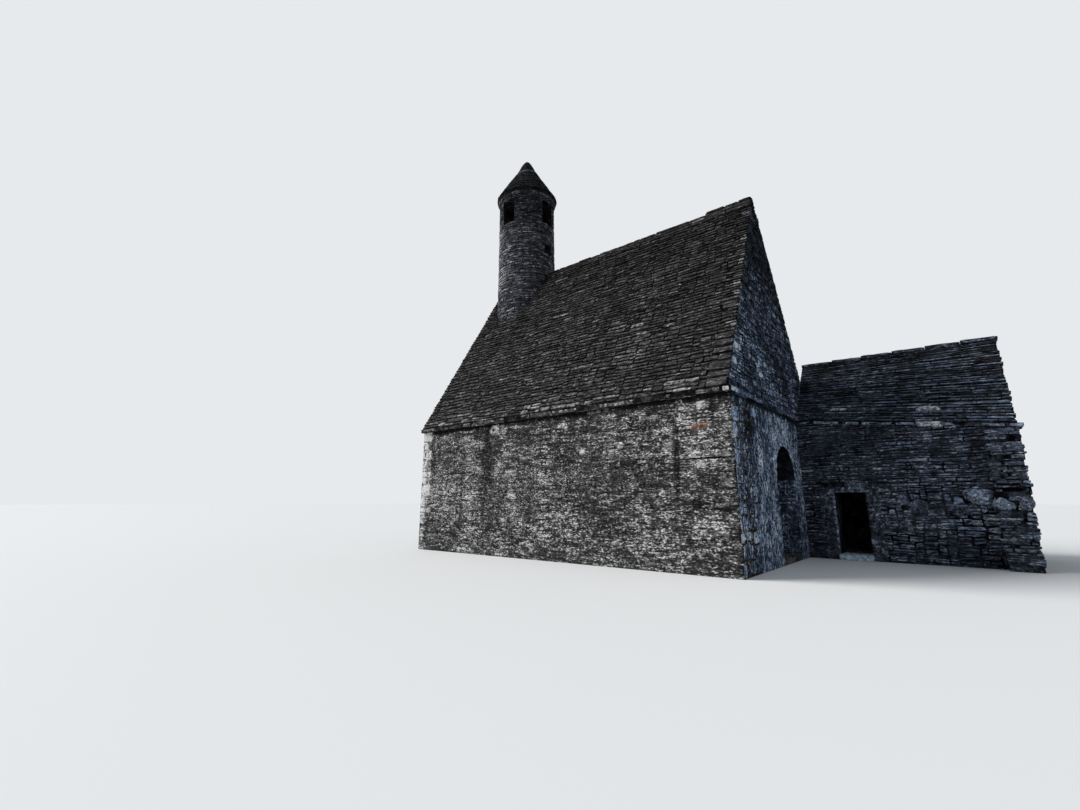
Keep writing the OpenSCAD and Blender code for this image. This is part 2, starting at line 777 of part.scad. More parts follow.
nave_floor();
nave_south_wall();
nave_north_wall();
nave_east_wall_south();
nave_east_wall_north();
nave_east_wall_head();
chancel_arch_voussoirs();
nave_west_wall_south();
nave_west_wall_north();
nave_west_wall_head();
west_door_lintel();
nave_vault();
eaves_course_south();
eaves_course_north();
gable_course_east();
gable_course_west();
nave_east_gable();
nave_west_gable();
nave_roof_south();
nave_roof_north();
nave_ridge_stones();
belfry_shaft_north();
belfry_shaft_east();
belfry_shaft_south();
belfry_shaft_west();
belfry_piers();
belfry_head_ring();
belfry_cornice();
belfry_cap();
belfry_cap_stone();
sacristy_floor();
sacristy_threshold();
sacristy_door_jambs();
sacristy_door_lintel();
sacristy_wall_over_door();
sacristy_south_wall();
sacristy_north_wall();
sacristy_west_wall();
sacristy_east_wall();
sacristy_eaves_slabs();
sacristy_roof_south();
sacristy_roof_north();
sacristy_ridge_slabs();
broken_chancel_wall();
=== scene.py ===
"""Looks of a small stone-roofed chapel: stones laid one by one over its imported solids, and their finishes."""

import json
import math
import random

import bpy
from bpy.props import FloatProperty, FloatVectorProperty, IntProperty, PointerProperty
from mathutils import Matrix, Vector
from mathutils.bvhtree import BVHTree


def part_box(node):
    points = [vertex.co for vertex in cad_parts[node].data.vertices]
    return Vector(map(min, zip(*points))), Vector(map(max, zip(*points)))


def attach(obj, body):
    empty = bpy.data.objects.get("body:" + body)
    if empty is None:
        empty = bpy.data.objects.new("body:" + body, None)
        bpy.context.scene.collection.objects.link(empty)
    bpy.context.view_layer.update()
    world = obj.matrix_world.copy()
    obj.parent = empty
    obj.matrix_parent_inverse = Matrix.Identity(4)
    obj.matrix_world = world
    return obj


bl_info = {
    "name": "Stone-roofed chapel",
    "version": (1, 0, 0),
    "blender": (4, 5, 0),
    "location": "View3D > Sidebar > Chapel",
    "description": "Lays the walls, roofs and belfry of a small rubble-stone chapel, stone by stone",
    "category": "Add Mesh",
}

BODY = "root"

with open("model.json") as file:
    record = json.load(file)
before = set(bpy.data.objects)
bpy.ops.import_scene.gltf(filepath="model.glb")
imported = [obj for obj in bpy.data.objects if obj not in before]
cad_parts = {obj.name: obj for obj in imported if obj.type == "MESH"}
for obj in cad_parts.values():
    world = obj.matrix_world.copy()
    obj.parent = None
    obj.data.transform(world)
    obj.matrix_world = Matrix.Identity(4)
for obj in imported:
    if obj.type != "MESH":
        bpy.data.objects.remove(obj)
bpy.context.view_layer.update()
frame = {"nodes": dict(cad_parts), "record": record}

X, Y, Z = 0, 1, 2


def low(node, axis):
    """The lowest coordinate of a CAD node along an axis."""
    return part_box(node)[0][axis]


def high(node, axis):
    """The highest coordinate of a CAD node along an axis."""
    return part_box(node)[1][axis]


def centre_of(node, axis):
    """The middle of a CAD node along an axis."""
    return (low(node, axis) + high(node, axis)) / 2


def half_of(node, axis):
    """Half the size of a CAD node along an axis."""
    return (high(node, axis) - low(node, axis)) / 2


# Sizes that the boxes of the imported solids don't show, in metres
RIDGE_HALF = 0.150
RIDGE_END_RISE = 0.060
RIDGE_END_X = 3.35
ROOF_OVERSAIL = 0.050
SHAFT_TAPER = 0.030
BELL_HALF = 0.265
WINDOW_HALF = 0.170
WINDOW_RISE = 0.780
WINDOW_HEIGHT = 0.360
CORNICE_SPLAY = 0.120
SAC_SLAB = 0.060

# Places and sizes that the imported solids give, in metres
WALL_TOP = high("nave_south_wall", Z)
WALL_FOOT_X = high("nave_south_wall", X)
WALL_FOOT_Y = -low("nave_south_wall", Y)
HALF_LENGTH = high("nave_roof_south", X)
BATTER = WALL_FOOT_X - HALF_LENGTH
HALF_WIDTH = WALL_FOOT_Y - BATTER
INNER_X = low("nave_east_gable", X)
FLOOR_TOP = high("nave_floor", Z)
EAVES_OUT = -low("eaves_course_south", Y)
EAVES_END = high("gable_course_east", X)
ROOF_BASE = low("nave_roof_south", Z)
RIDGE_SEAT = low("nave_ridge_stones", Z)
RIDGE_END = high("nave_ridge_stones", Z)
RIDGE_TOP = RIDGE_END - RIDGE_END_RISE
GABLE_TOP_X = high("nave_ridge_stones", X)
ARCH_SPRING = low("chancel_arch_voussoirs", Z)
ARCH_MIDDLE = centre_of("chancel_arch_voussoirs", Y)
ARCH_OUTER = half_of("chancel_arch_voussoirs", Y)
ARCH_SOUTH = high("nave_east_wall_south", Y)
ARCH_NORTH = low("nave_east_wall_north", Y)
ARCH_INNER = (ARCH_NORTH - ARCH_SOUTH) / 2
WEST_DOOR_HALF = -high("nave_west_wall_south", Y)
LINTEL_TOP = high("west_door_lintel", Z)
LINTEL_BASE = low("west_door_lintel", Z)
LINTEL_HALF = high("west_door_lintel", Y)
BELFRY_X = centre_of("belfry_head_ring", X)
SHAFT_R = half_of("belfry_head_ring", X)
SHAFT_FOOT = low("belfry_shaft_south", Z)
BELL_SILL = low("belfry_piers", Z)
BELL_HEAD = high("belfry_piers", Z)
WINDOW_SILL = RIDGE_TOP + WINDOW_RISE
WINDOW_HEAD = WINDOW_SILL + WINDOW_HEIGHT
CORNICE_BASE = low("belfry_cornice", Z)
CORNICE_R = high("belfry_cornice", X) - BELFRY_X
CAP_BASE = high("belfry_cornice", Z)
CAP_R = high("belfry_cap", X) - BELFRY_X
TIP_BASE = low("belfry_cap_stone", Z)
TIP_R = high("belfry_cap_stone", X) - BELFRY_X
SAC_SOUTH = low("sacristy_south_wall", Y)
SAC_NORTH = high("sacristy_north_wall", Y)
SAC_MIDDLE = (SAC_SOUTH + SAC_NORTH) / 2
SAC_EAST = high("sacristy_east_wall", X)
SAC_WEST = low("sacristy_west_wall", X)
SAC_RIDGE = high("sacristy_ridge_slabs", Z)
SAC_SEAT = low("sacristy_ridge_slabs", Z)
SAC_ROOF_OUT = SAC_MIDDLE - low("sacristy_roof_south", Y)
SAC_EAVES_EAST = low("sacristy_eaves_slabs", Z)
SAC_EAVES_WEST = high("sacristy_eaves_slabs", Z) - SAC_SLAB
DOOR_WEST = low("sacristy_threshold", X)
DOOR_EAST = high("sacristy_threshold", X)
DOOR_HEAD = low("sacristy_door_lintel", Z)
DOOR_LINTEL_TOP = high("sacristy_door_lintel", Z)
DOOR_JAMB_WEST = low("sacristy_door_lintel", X)
DOOR_JAMB_EAST = high("sacristy_door_lintel", X)
SILL_OUT = low("sacristy_threshold", Y)
SILL_TOP = high("sacristy_threshold", Z)

SLOPE_RISE = RIDGE_SEAT - ROOF_BASE
SLOPE_FOOT = HALF_WIDTH + ROOF_OVERSAIL
SLOPE_RUN = SLOPE_FOOT - RIDGE_HALF
SLOPE_LENGTH = math.hypot(SLOPE_RUN, SLOPE_RISE)
GABLE_LEAN = (HALF_LENGTH - GABLE_TOP_X) / (RIDGE_END - ROOF_BASE)

# A length in metres that counts as none, and the area in square metres below which a stone is left out
TINY = 1e-6
SMALLEST_AREA = 0.0009

# Faces of rounded stones that meet at less than this angle, in degrees, are smoothed
ROUNDED = 60


def length(name, description, value):
    """A length that the panel shows."""
    return FloatProperty(name=name, description=description, default=value, unit="LENGTH")


def colour(name, description, value):
    """A colour that the panel shows."""
    return FloatVectorProperty(name=name, description=description, subtype="COLOR", default=value)


class ChapelSizes(bpy.types.PropertyGroup):
    """Sizes of the stones and of the joints between them."""

    joint: length("Joint", "Width of the joint between two stones", 0.010)
    wall_face: length("Wall face", "How far wall stones stand out of the mortar", 0.010)
    roof_face: length("Roof face", "How far roof slabs stand out of the slope's root plane", 0.045)
    roof_lip: length("Roof lip", "How far the foot of a roof slab leans out over its head", 0.030)
    bevel: length("Worn edge", "Width of the worn edge of a stone", 0.010)
    seed: IntProperty(name="Seed", description="Starts every random draw", default=7)


class ChapelColours(bpy.types.PropertyGroup):
    """Colours of the stones, the lichen and the mortar; those of the east face and the sacristy hold a painted
    blue of skylight in shade.
    """

    wall_dark: colour("Wall, dark", "Darkest stones of the south wall", (0.084, 0.083, 0.082))
    wall_light: colour("Wall, light", "Lightest stones of the south wall", (0.202, 0.199, 0.196))
    roof_dark: colour("Roof, dark", "Darkest roof slabs", (0.029, 0.0275, 0.0275))
    roof_light: colour("Roof, light", "Lightest roof slabs", (0.077, 0.072, 0.072))
    # East face: grey stone with the blue of skylight in shade painted into its colours
    shaded_east_dark: colour("East face, dark", "Darkest stones of the east face", (0.062, 0.084, 0.130))
    shaded_east_light: colour("East face, light", "Lightest stones of the east face", (0.250, 0.330, 0.490))
    # Sacristy: stone with the blue of skylight in the nave's shade painted in; its far sides take the plain
    # grey below
    shaded_slate_dark: colour("Sacristy, dark", "Darkest stones of the sacristy", (0.027, 0.032, 0.044))
    shaded_slate_light: colour("Sacristy, light", "Lightest stones of the sacristy", (0.120, 0.138, 0.178))
    far_dark: colour("Far, dark", "Darkest stones of the sacristy's far sides", (0.030, 0.033, 0.039))
    far_light: colour("Far, light", "Lightest stones of the sacristy's far sides", (0.128, 0.137, 0.156))
    belfry_dark: colour("Belfry, dark", "Darkest stones of the belfry", (0.034, 0.035, 0.041))
    belfry_light: colour("Belfry, light", "Lightest stones of the belfry", (0.146, 0.152, 0.176))
    # Cap: dark slate, darkened further as painted shade at the top of the belfry
    cap_dark: colour("Cap, dark", "Darkest stones of the belfry's cap", (0.0025, 0.0025, 0.003))
    cap_light: colour("Cap, light", "Lightest stones of the belfry's cap", (0.014, 0.014, 0.016))
    lichen: colour("Lichen", "Pale crusts on the stones", (0.290, 0.290, 0.285))
    # Lichen of the east face, with the blue of skylight in shade painted in
    shaded_east_lichen: colour("East lichen", "Pale crusts on the shaded east face", (0.250, 0.330, 0.480))
    rust: colour("Red stone", "The one red stone in the south wall", (0.215, 0.118, 0.085))
    floor: colour("Floor", "The studio floor", (0.700, 0.705, 0.710))


def sizes():
    """The sizes as the panel has them."""
    return bpy.context.scene.chapel_sizes


def colours():
    """The colours as the panel has them."""
    return bpy.context.scene.chapel_colours


# Surfaces that stones are laid on: u runs to the right as seen from outside, v up, w outwards


class FlatFace:
    """A flat face of the building, from its lower left corner."""

    def __init__(self, origin, right, up):
        self.origin, self.right, self.up = Vector(origin), Vector(right).normalized(), Vector(up).normalized()
        self.out = self.right.cross(self.up)

    def __call__(self, u, v, w):
        return self.origin + self.right * u + self.up * v + self.out * w

    def inside(self, x, y, z):
        """A point of the building in the face's own u and v."""
        step = Vector((x, y, z)) - self.origin
        return step.dot(self.right), step.dot(self.up)


class RuledFace:
    """A slightly twisted face between a foot line and a head line, each from left to right."""

    def __init__(self, foot_left, foot_right, head_left, head_right):
        self.corners = [Vector(corner) for corner in (foot_left, foot_right, head_left, head_right)]
        a, b, c, d = self.corners
        self.width = (b - a).length
        self.height = ((c - a).length + (d - b).length) / 2
        self.out = (d - a).cross(c - b).normalized()

    def __call__(self, u, v, w):
        a, b, c, d = self.corners
        s, t = u / self.width, v / self.height
        return a.lerp(b, s).lerp(c.lerp(d, s), t) + self.out * w


class RoundFace:
    """The outside of the belfry: u is the length along the circle, v the height above the face's foot."""

    def __init__(self, foot, radius, slope=0.0):
        self.foot, self.radius, self.slope = foot, radius, slope
        self.around = 2 * math.pi * radius

    def __call__(self, u, v, w):
        reach = self.radius + self.slope * v + w
        turn = u / self.radius
        return Vector((BELFRY_X + reach * math.cos(turn), reach * math.sin(turn), self.foot + v))


class ArchFace:
    """The face of the chancel arch's ring: u runs along its inner edge, v outwards from it."""

    def __init__(self, wall):
        self.wall = wall
        self.around = math.pi * ARCH_INNER

    def __call__(self, u, v, w):
        turn = math.pi - u / ARCH_INNER
        reach = ARCH_INNER + v
        y, z = ARCH_MIDDLE + reach * math.cos(turn), ARCH_SPRING + reach * math.sin(turn)
        return self.wall(*self.wall.inside(HALF_LENGTH, y, z), w)


# Outlines are lists of (u, v) that run anticlockwise


def clip(outline, a, b, c):
    """The part of an outline where a u + b v is at least c."""
    kept = []
    for k, (u1, v1) in enumerate(outline):
        u0, v0 = outline[k - 1]
        d0, d1 = a * u0 + b * v0 - c, a * u1 + b * v1 - c
        if d0 * d1 < 0:
            t = d0 / (d0 - d1)
            kept.append((u0 + (u1 - u0) * t, v0 + (v1 - v0) * t))
        if d1 >= 0:
            kept.append((u1, v1))
    return kept


def area(outline):
    """The area of an outline, positive when it runs anticlockwise."""
    return sum(outline[k - 1][0] * p[1] - p[0] * outline[k - 1][1] for k, p in enumerate(outline)) / 2


def middle(outline):
    """The mean of an outline's points."""
    return sum(p[0] for p in outline) / len(outline), sum(p[1] for p in outline) / len(outline)


def box_of(outline):
    """The lowest and highest u and v of an outline."""
    us, vs = [p[0] for p in outline], [p[1] for p in outline]
    return min(us), min(vs), max(us), max(vs)


def within(*corners):
    """A cutter that keeps what lies inside a convex outline."""
    sides = []
    for k, (u1, v1) in enumerate(corners):
        u0, v0 = corners[k - 1]
        length = math.hypot(u1 - u0, v1 - v0)
        a, b = -(v1 - v0) / length, (u1 - u0) / length
        sides.append((a, b, a * u0 + b * v0))

    def cut(outline):
        for a, b, c in sides:
            outline = clip(outline, a, b, c) if len(outline) > 2 else []
        return outline

    return cut


def rectangle(u0, v0, u1, v1):
    """A cutter that keeps what lies inside a rectangle."""
    return within((u0, v0), (u1, v0), (u1, v1), (u0, v1))


def beside_box(u0, v0, u1, v1):
    """A cutter that keeps the largest part of a stone beside a rectangle."""

    def cut(outline):
        a, b, c, d = box_of(outline)
        if c <= u0 or a >= u1 or d <= v0 or b >= v1:
            return outline
        sides = ((-1, 0, -u0), (1, 0, u1), (0, -1, -v0), (0, 1, v1))
        return max((clip(outline, *side) for side in sides), key=area)

    return cut


def beside_circle(u, v, radius):
    """A cutter that keeps what lies outside a circle."""

    def cut(outline):
        cu, cv = middle(outline)
        far = max(math.hypot(cu - u, cv - v), 0.001)
        a, b = (cu - u) / far, (cv - v) / far
        return clip(outline, a, b, a * u + b * v + radius)

    return cut


def beside_shaft(face, radius):
    """A cutter that keeps what lies outside the belfry's shaft, on a roof slope."""
    right, up, origin = face.right.xy, face.up.xy, face.origin.xy - Vector((BELFRY_X, 0))

    def cut(outline):
        cu, cv = middle(outline)
        away = (origin + right * cu + up * cv).normalized()
        return clip(outline, away.dot(right), away.dot(up), radius - away.dot(origin))

    return cut


def lay_rubble(width, height, length, rise, rnd, snap=0.03):
    """Fills a rectangle with stones, each set on the lowest place; gives their corners."""
    beds = [[0.0, width, 0.0]]
    stones = []
    while True:
        i = min(range(len(beds)), key=lambda k: (beds[k][2], beds[k][0]))
        u0, u1, base = beds[i]
        if base >= height - TINY:
            return stones
        size = rnd.uniform(*length)
        if u1 - u0 - size < length[0]:
            size = u1 - u0 if u1 - u0 < length[1] * 1.15 else (u1 - u0) / 2
        top = base + rise[0] + (rise[1] - rise[0]) * rnd.random() ** 1.4
        left = beds[i - 1][2] if i else None
        right = beds[i + 1][2] if i + 1 < len(beds) else None
        for other in (left, right):
            if other is not None and abs(top - other) < snap and other > base + TINY:
                top = other
        if height - top < rise[0]:
            top = height
        at_left = right is None or (left is not None and left >= right)
        a, b = (u0, u0 + size) if at_left else (u1 - size, u1)
        stones.append((a, base, b, top))
        pieces = [[a, b, top]]
        if a - u0 > TINY:
            pieces.insert(0, [u0, a, base])
        if u1 - b > TINY:
            pieces.append([b, u1, base])
        beds[i:i + 1] = pieces
        merged = [beds[0]]
        for bed in beds[1:]:
            if abs(bed[2] - merged[-1][2]) < TINY:
                merged[-1][1] = bed[1]
            else:
                merged.append(bed)
        beds = merged


def lay_courses(width, height, length, course, rnd, uneven=0.4):
    """Fills a rectangle with full courses of about one height; gives the stones' corners."""
    count = max(1, round(height / course))
    shares = [1 + rnd.uniform(-uneven, uneven) for _ in range(count)]
    scale = height / sum(shares)
    stones, base = [], 0.0
    for share in shares:
        top = base + share * scale
        u = -rnd.uniform(0, length[0])
        while u < width:
            end = u + rnd.uniform(*length)
            if width - end < length[0] * 0.6:
                end = width + TINY
            stones.append((max(u, 0.0), base, min(end, width), top))
            u = end
        base = top
    return stones


def cut_row(start, stop, length, rnd):
    """Cuts a line into lengths, the last at least half of the shortest; gives their ends."""
    at, row = start, []
    while at < stop - TINY:
        to = min(at + rnd.uniform(*length), stop)
        if stop - to < length[0] / 2:
            to = stop
        row.append((at, to))
        at = to
    return row


def quoins(width, height, rnd, rise=(0.16, 0.36), short=(0.22, 0.34), long=(0.42, 0.70)):
    """Corner stones up both ends of a face, long and short in turn."""
    boxes = []
    for at_left in (True, False):
        base, is_long = 0.0, rnd.random() < 0.5
        while base < height - TINY:
            top = base + rnd.uniform(*rise)
            if height - top < rise[0]:
                top = height
            length = rnd.uniform(*(long if is_long else short))
            boxes.append((0.0, base, length, top) if at_left else (width - length, base, width, top))
            base, is_long = top, not is_long
    return boxes


def near_cuts(boxes, stone):
    """The cutters of those boxes that touch a stone."""
    return [beside_box(*box) for box in boxes
            if box[0] < stone[2] and box[2] > stone[0] and box[1] < stone[3] and box[3] > stone[1]]


def rough_outline(corners, joint, rnd, knocked=0.20, wander=0.06, spacing=0.17, ends=1.0):
    """A stone's outline in its place: its corners knocked off and its sides uneven.

    The joint is the one along its bed; at its ends it is that times ends."""
    half, end = joint / 2, joint * ends / 2
    u0, v0, u1, v1 = corners[0] + end, corners[1] + half, corners[2] - end, corners[3] - half
    if u1 - u0 < 0.018 or v1 - v0 < 0.012:
        return []
    size = min(u1 - u0, v1 - v0)
    points = [(u0, v0), (u1, v0), (u1, v1), (u0, v1)]
    outline = []
    for k, (ua, va) in enumerate(points):
        ub, vb = points[(k + 1) % 4]
        length = abs(ub - ua) + abs(vb - va)
        du, dv = (ub - ua) / length, (vb - va) / length
        first, last = size * rnd.uniform(0.04, knocked), length - size * rnd.uniform(0.04, knocked)
        inner = int((last - first) / spacing)
        for step in range(inner + 2):
            along = first + (last - first) * step / (inner + 1)
            if 0 < step < inner + 1:
                along += rnd.uniform(-0.3, 0.3) * (last - first) / (inner + 1)
            inward = size * rnd.uniform(0, wander)
            outline.append((ua + du * along - dv * inward, va + dv * along + du * inward))
    return outline


def sway(u, v, reach):
    """Moves a point a little, so that courses wander as hand-laid ones do."""
    du = math.sin(2.3 * v + 1.1 * math.sin(1.7 * u)) * 0.5 + math.sin(5.1 * v + 0.9 * u) * 0.3
    dv = math.sin(1.3 * u + 0.7) * 0.55 + math.sin(3.9 * u + 1.9 * v) * 0.35
    return u + reach * du, v + reach * dv


def flat(u, v, w):
    """A slab that lies level: u is x, v is y and w is z."""
    return Vector((u, v, w))


class StonePile:
    """Stones gathered as plain lists, which become one joined mesh."""

    def __init__(self, name):
        self.name = name
        self.random = random.Random(f"{name} {sizes().seed}")
        self.points, self.faces = [], []
        self.shades = {shade: [] for shade in ("tone", "pale", "worn", "red")}

    def add(self, point, worn):
        """Adds a point, and how worn its stone is there."""
        self.points.append(tuple(point))
        self.shades["worn"].append(worn)

    def skin(self, start, count, rings, pointed):
        """Lays faces over a stone's rings of points, from its first point, and closes the last ring."""
        last = start + (rings - 1) * count
        for k in range(count):
            n = (k + 1) % count
            for a in range(start, last, count):
                self.faces.append((a + k, a + n, a + count + n, a + count + k))
            if pointed:
                self.faces.append((last + k, last + n, last + count))
        self.faces.append(tuple(range(start + count - 1, start - 1, -1)))
        if not pointed:
            self.faces.append(tuple(range(last, last + count)))

    def stone(self, outline, place, face, bed=0.05, bevel=None, lean=0.0, crown=0.5, rough=0.006, **shade):
        """Adds one stone, its face standing out of the surface, and its foot further by lean."""
        rnd = self.random
        if len(outline) < 3 or area(outline) < SMALLEST_AREA:
            return
        (u0, v0, u1, v1), (cu, cv) = box_of(outline), middle(outline)
        half_u, half_v = (u1 - u0) / 2, (v1 - v0) / 2
        bevel = min(bevel or sizes().bevel, half_u * 0.4, half_v * 0.4)
        rough = min(rough, half_v * 0.12)
        slope_u, slope_v = rnd.uniform(-1, 1) * rough, rnd.uniform(-0.7, 1) * rough
        rings = [(0.0, -bed, 0.0), (0.0, face - bevel, 0.35), (bevel, face, 1.0)]
        if crown:
            rings.append((bevel + crown * min(half_u, half_v), face + rough * 0.8, 0.6))
        start = len(self.points)
        for inset, w, worn in rings:
            fu, fv = max(0.1, 1 - inset / half_u), max(0.1, 1 - inset / half_v)
            for u, v in outline:
                pu, pv = cu + (u - cu) * fu, cv + (v - cv) * fv
                out = w
                if w > 0:
                    out += lean * (0.5 - (pv - v0) / (v1 - v0))
                    out += slope_u * (pu - cu) / half_u + slope_v * (pv - cv) / half_v
                    out += rnd.uniform(-0.5, 0.5) * rough
                self.add(place(pu, pv, out), worn)
        self.add(place(cu, cv, face + rough), 0.6)
        self.skin(start, len(outline), len(rings), pointed=True)
        self.note(start, **shade)

    def boulder(self, corners, place, bulge, tilt=0.0, **shade):
        """Adds a rounded field stone, half sunk in the surface and turned in it by tilt degrees."""
        rnd = self.random
        count, squareness, swell, uneven = 20, 3.4, 0.54, 0.05
        u0, v0, u1, v1 = corners
        cu, cv, half_u, half_v = (u0 + u1) / 2, (v0 + v1) / 2, (u1 - u0) * swell, (v1 - v0) * swell
        first, second = rnd.uniform(0, 6), rnd.uniform(0, 6)
        across, along = math.sin(math.radians(tilt)), math.cos(math.radians(tilt))
        outline = []
        for k in range(count):
            turn = 2 * math.pi * k / count
            powers = abs(math.cos(turn)) ** squareness + abs(math.sin(turn)) ** squareness
            wavy = 1 + 0.07 * math.sin(2 * turn + first) + 0.08 * math.sin(3 * turn + second)
            reach = powers ** (-1 / squareness) * wavy
            u, v = half_u * reach * math.cos(turn), half_v * reach * math.sin(turn)
            outline.append((u * along - v * across, u * across + v * along))
        start, heights = len(self.points), (-35, -8, 16, 38, 58, 74)
        for degrees in heights:
            share, out = math.cos(math.radians(degrees)), math.sin(math.radians(degrees)) * bulge
            for u, v in outline:
                push = share * (1 + rnd.uniform(-uneven, uneven))
                rise = out * (1 + rnd.uniform(-uneven, uneven))
                self.add(place(cu + u * push, cv + v * push, rise), 0.5 if out < 0 else 0.75)
        self.add(place(cu, cv, bulge * 0.98), 0.75)
        self.skin(start, count, len(heights), pointed=True)
        self.note(start, **shade)

    def slab(self, outline, place, w0, w1, bevel=0.008, **shade):
        """Adds a slab that shows all round, between w0 and w1, with all its edges worn."""
        rnd = self.random
        if len(outline) < 3 or area(outline) < SMALLEST_AREA:
            return
        (u0, v0, u1, v1), (cu, cv) = box_of(outline), middle(outline)
        half_u, half_v = (u1 - u0) / 2, (v1 - v0) / 2
        bevel = min(bevel, half_u * 0.4, half_v * 0.4, (w1 - w0) * 0.3)
        start = len(self.points)
        rings = ((bevel, w0, 0.6), (0.0, w0 + bevel, 0.95), (0.0, w1 - bevel, 0.95), (bevel, w1, 0.7))
        for inset, w, worn in rings:
            fu, fv = 1 - inset / half_u, 1 - inset / half_v
            for u, v in outline:
                push = rnd.uniform(-0.4, 0.4) * bevel
                self.add(place(cu + (u - cu) * fu + push, cv + (v - cv) * fv - push, w + push / 2), worn)
        self.skin(start, len(outline), len(rings), pointed=False)
        self.note(start, **shade)

    def note(self, start, tone=None, pale=0.0, red=0.0):
        """Keeps one stone's own shade for all of its points, from its first point on."""
        own = min(1.0, max(0.0, self.random.gauss(0.5, 0.24))) if tone is None else tone
        for name, value in (("tone", own), ("pale", pale), ("red", red)):
            self.shades[name] += [value] * (len(self.points) - start)

    def lay(self, corners, place, proud, joint, cuts=(), reach=0.0, pale_share=0.03, vary=(0.65, 1.5),
            shape=None, **how):
        """Shapes one stone in its place, cuts it to what shows and adds it."""
        rnd = self.random
        outline = [sway(u, v, reach) for u, v in rough_outline(corners, joint, rnd, **(shape or {}))]
        for cut in cuts:
            outline = cut(outline) if len(outline) > 2 else []
        if "pale" not in how:
            how["pale"] = rnd.uniform(0.3, 0.9) if rnd.random() < pale_share else 0.0
        self.stone(outline, place, proud * rnd.uniform(*vary), **how)

    def build(self, finish, smooth_angle=32.0):
        """Makes the joined mesh, smooths its faces and sets it on the building."""
        mesh = bpy.data.meshes.new(self.name)
        mesh.from_pydata(self.points, [], self.faces)
        for name, values in self.shades.items():
            mesh.attributes.new(name, "FLOAT", "POINT").data.foreach_set("value", values)
        mesh.update()
        piece = bpy.data.objects.new(self.name, mesh)
        bpy.context.scene.collection.objects.link(piece)
        settle(piece, finish, smooth_angle)


def settle(piece, finish, smooth_angle=32.0):
    """Gives a piece its finish and its place on the building."""
    select_only(piece)
    piece.data.materials.clear()
    piece.data.materials.append(finish_of(finish))
    bpy.ops.object.shade_smooth_by_angle(angle=math.radians(smooth_angle))
    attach(piece, BODY)


def select_only(piece):
    """Deselects everything else, and makes the piece the active one."""
    bpy.ops.object.select_all(action="DESELECT")
    piece.select_set(True)
    bpy.context.view_layer.objects.active = piece


# Finishes


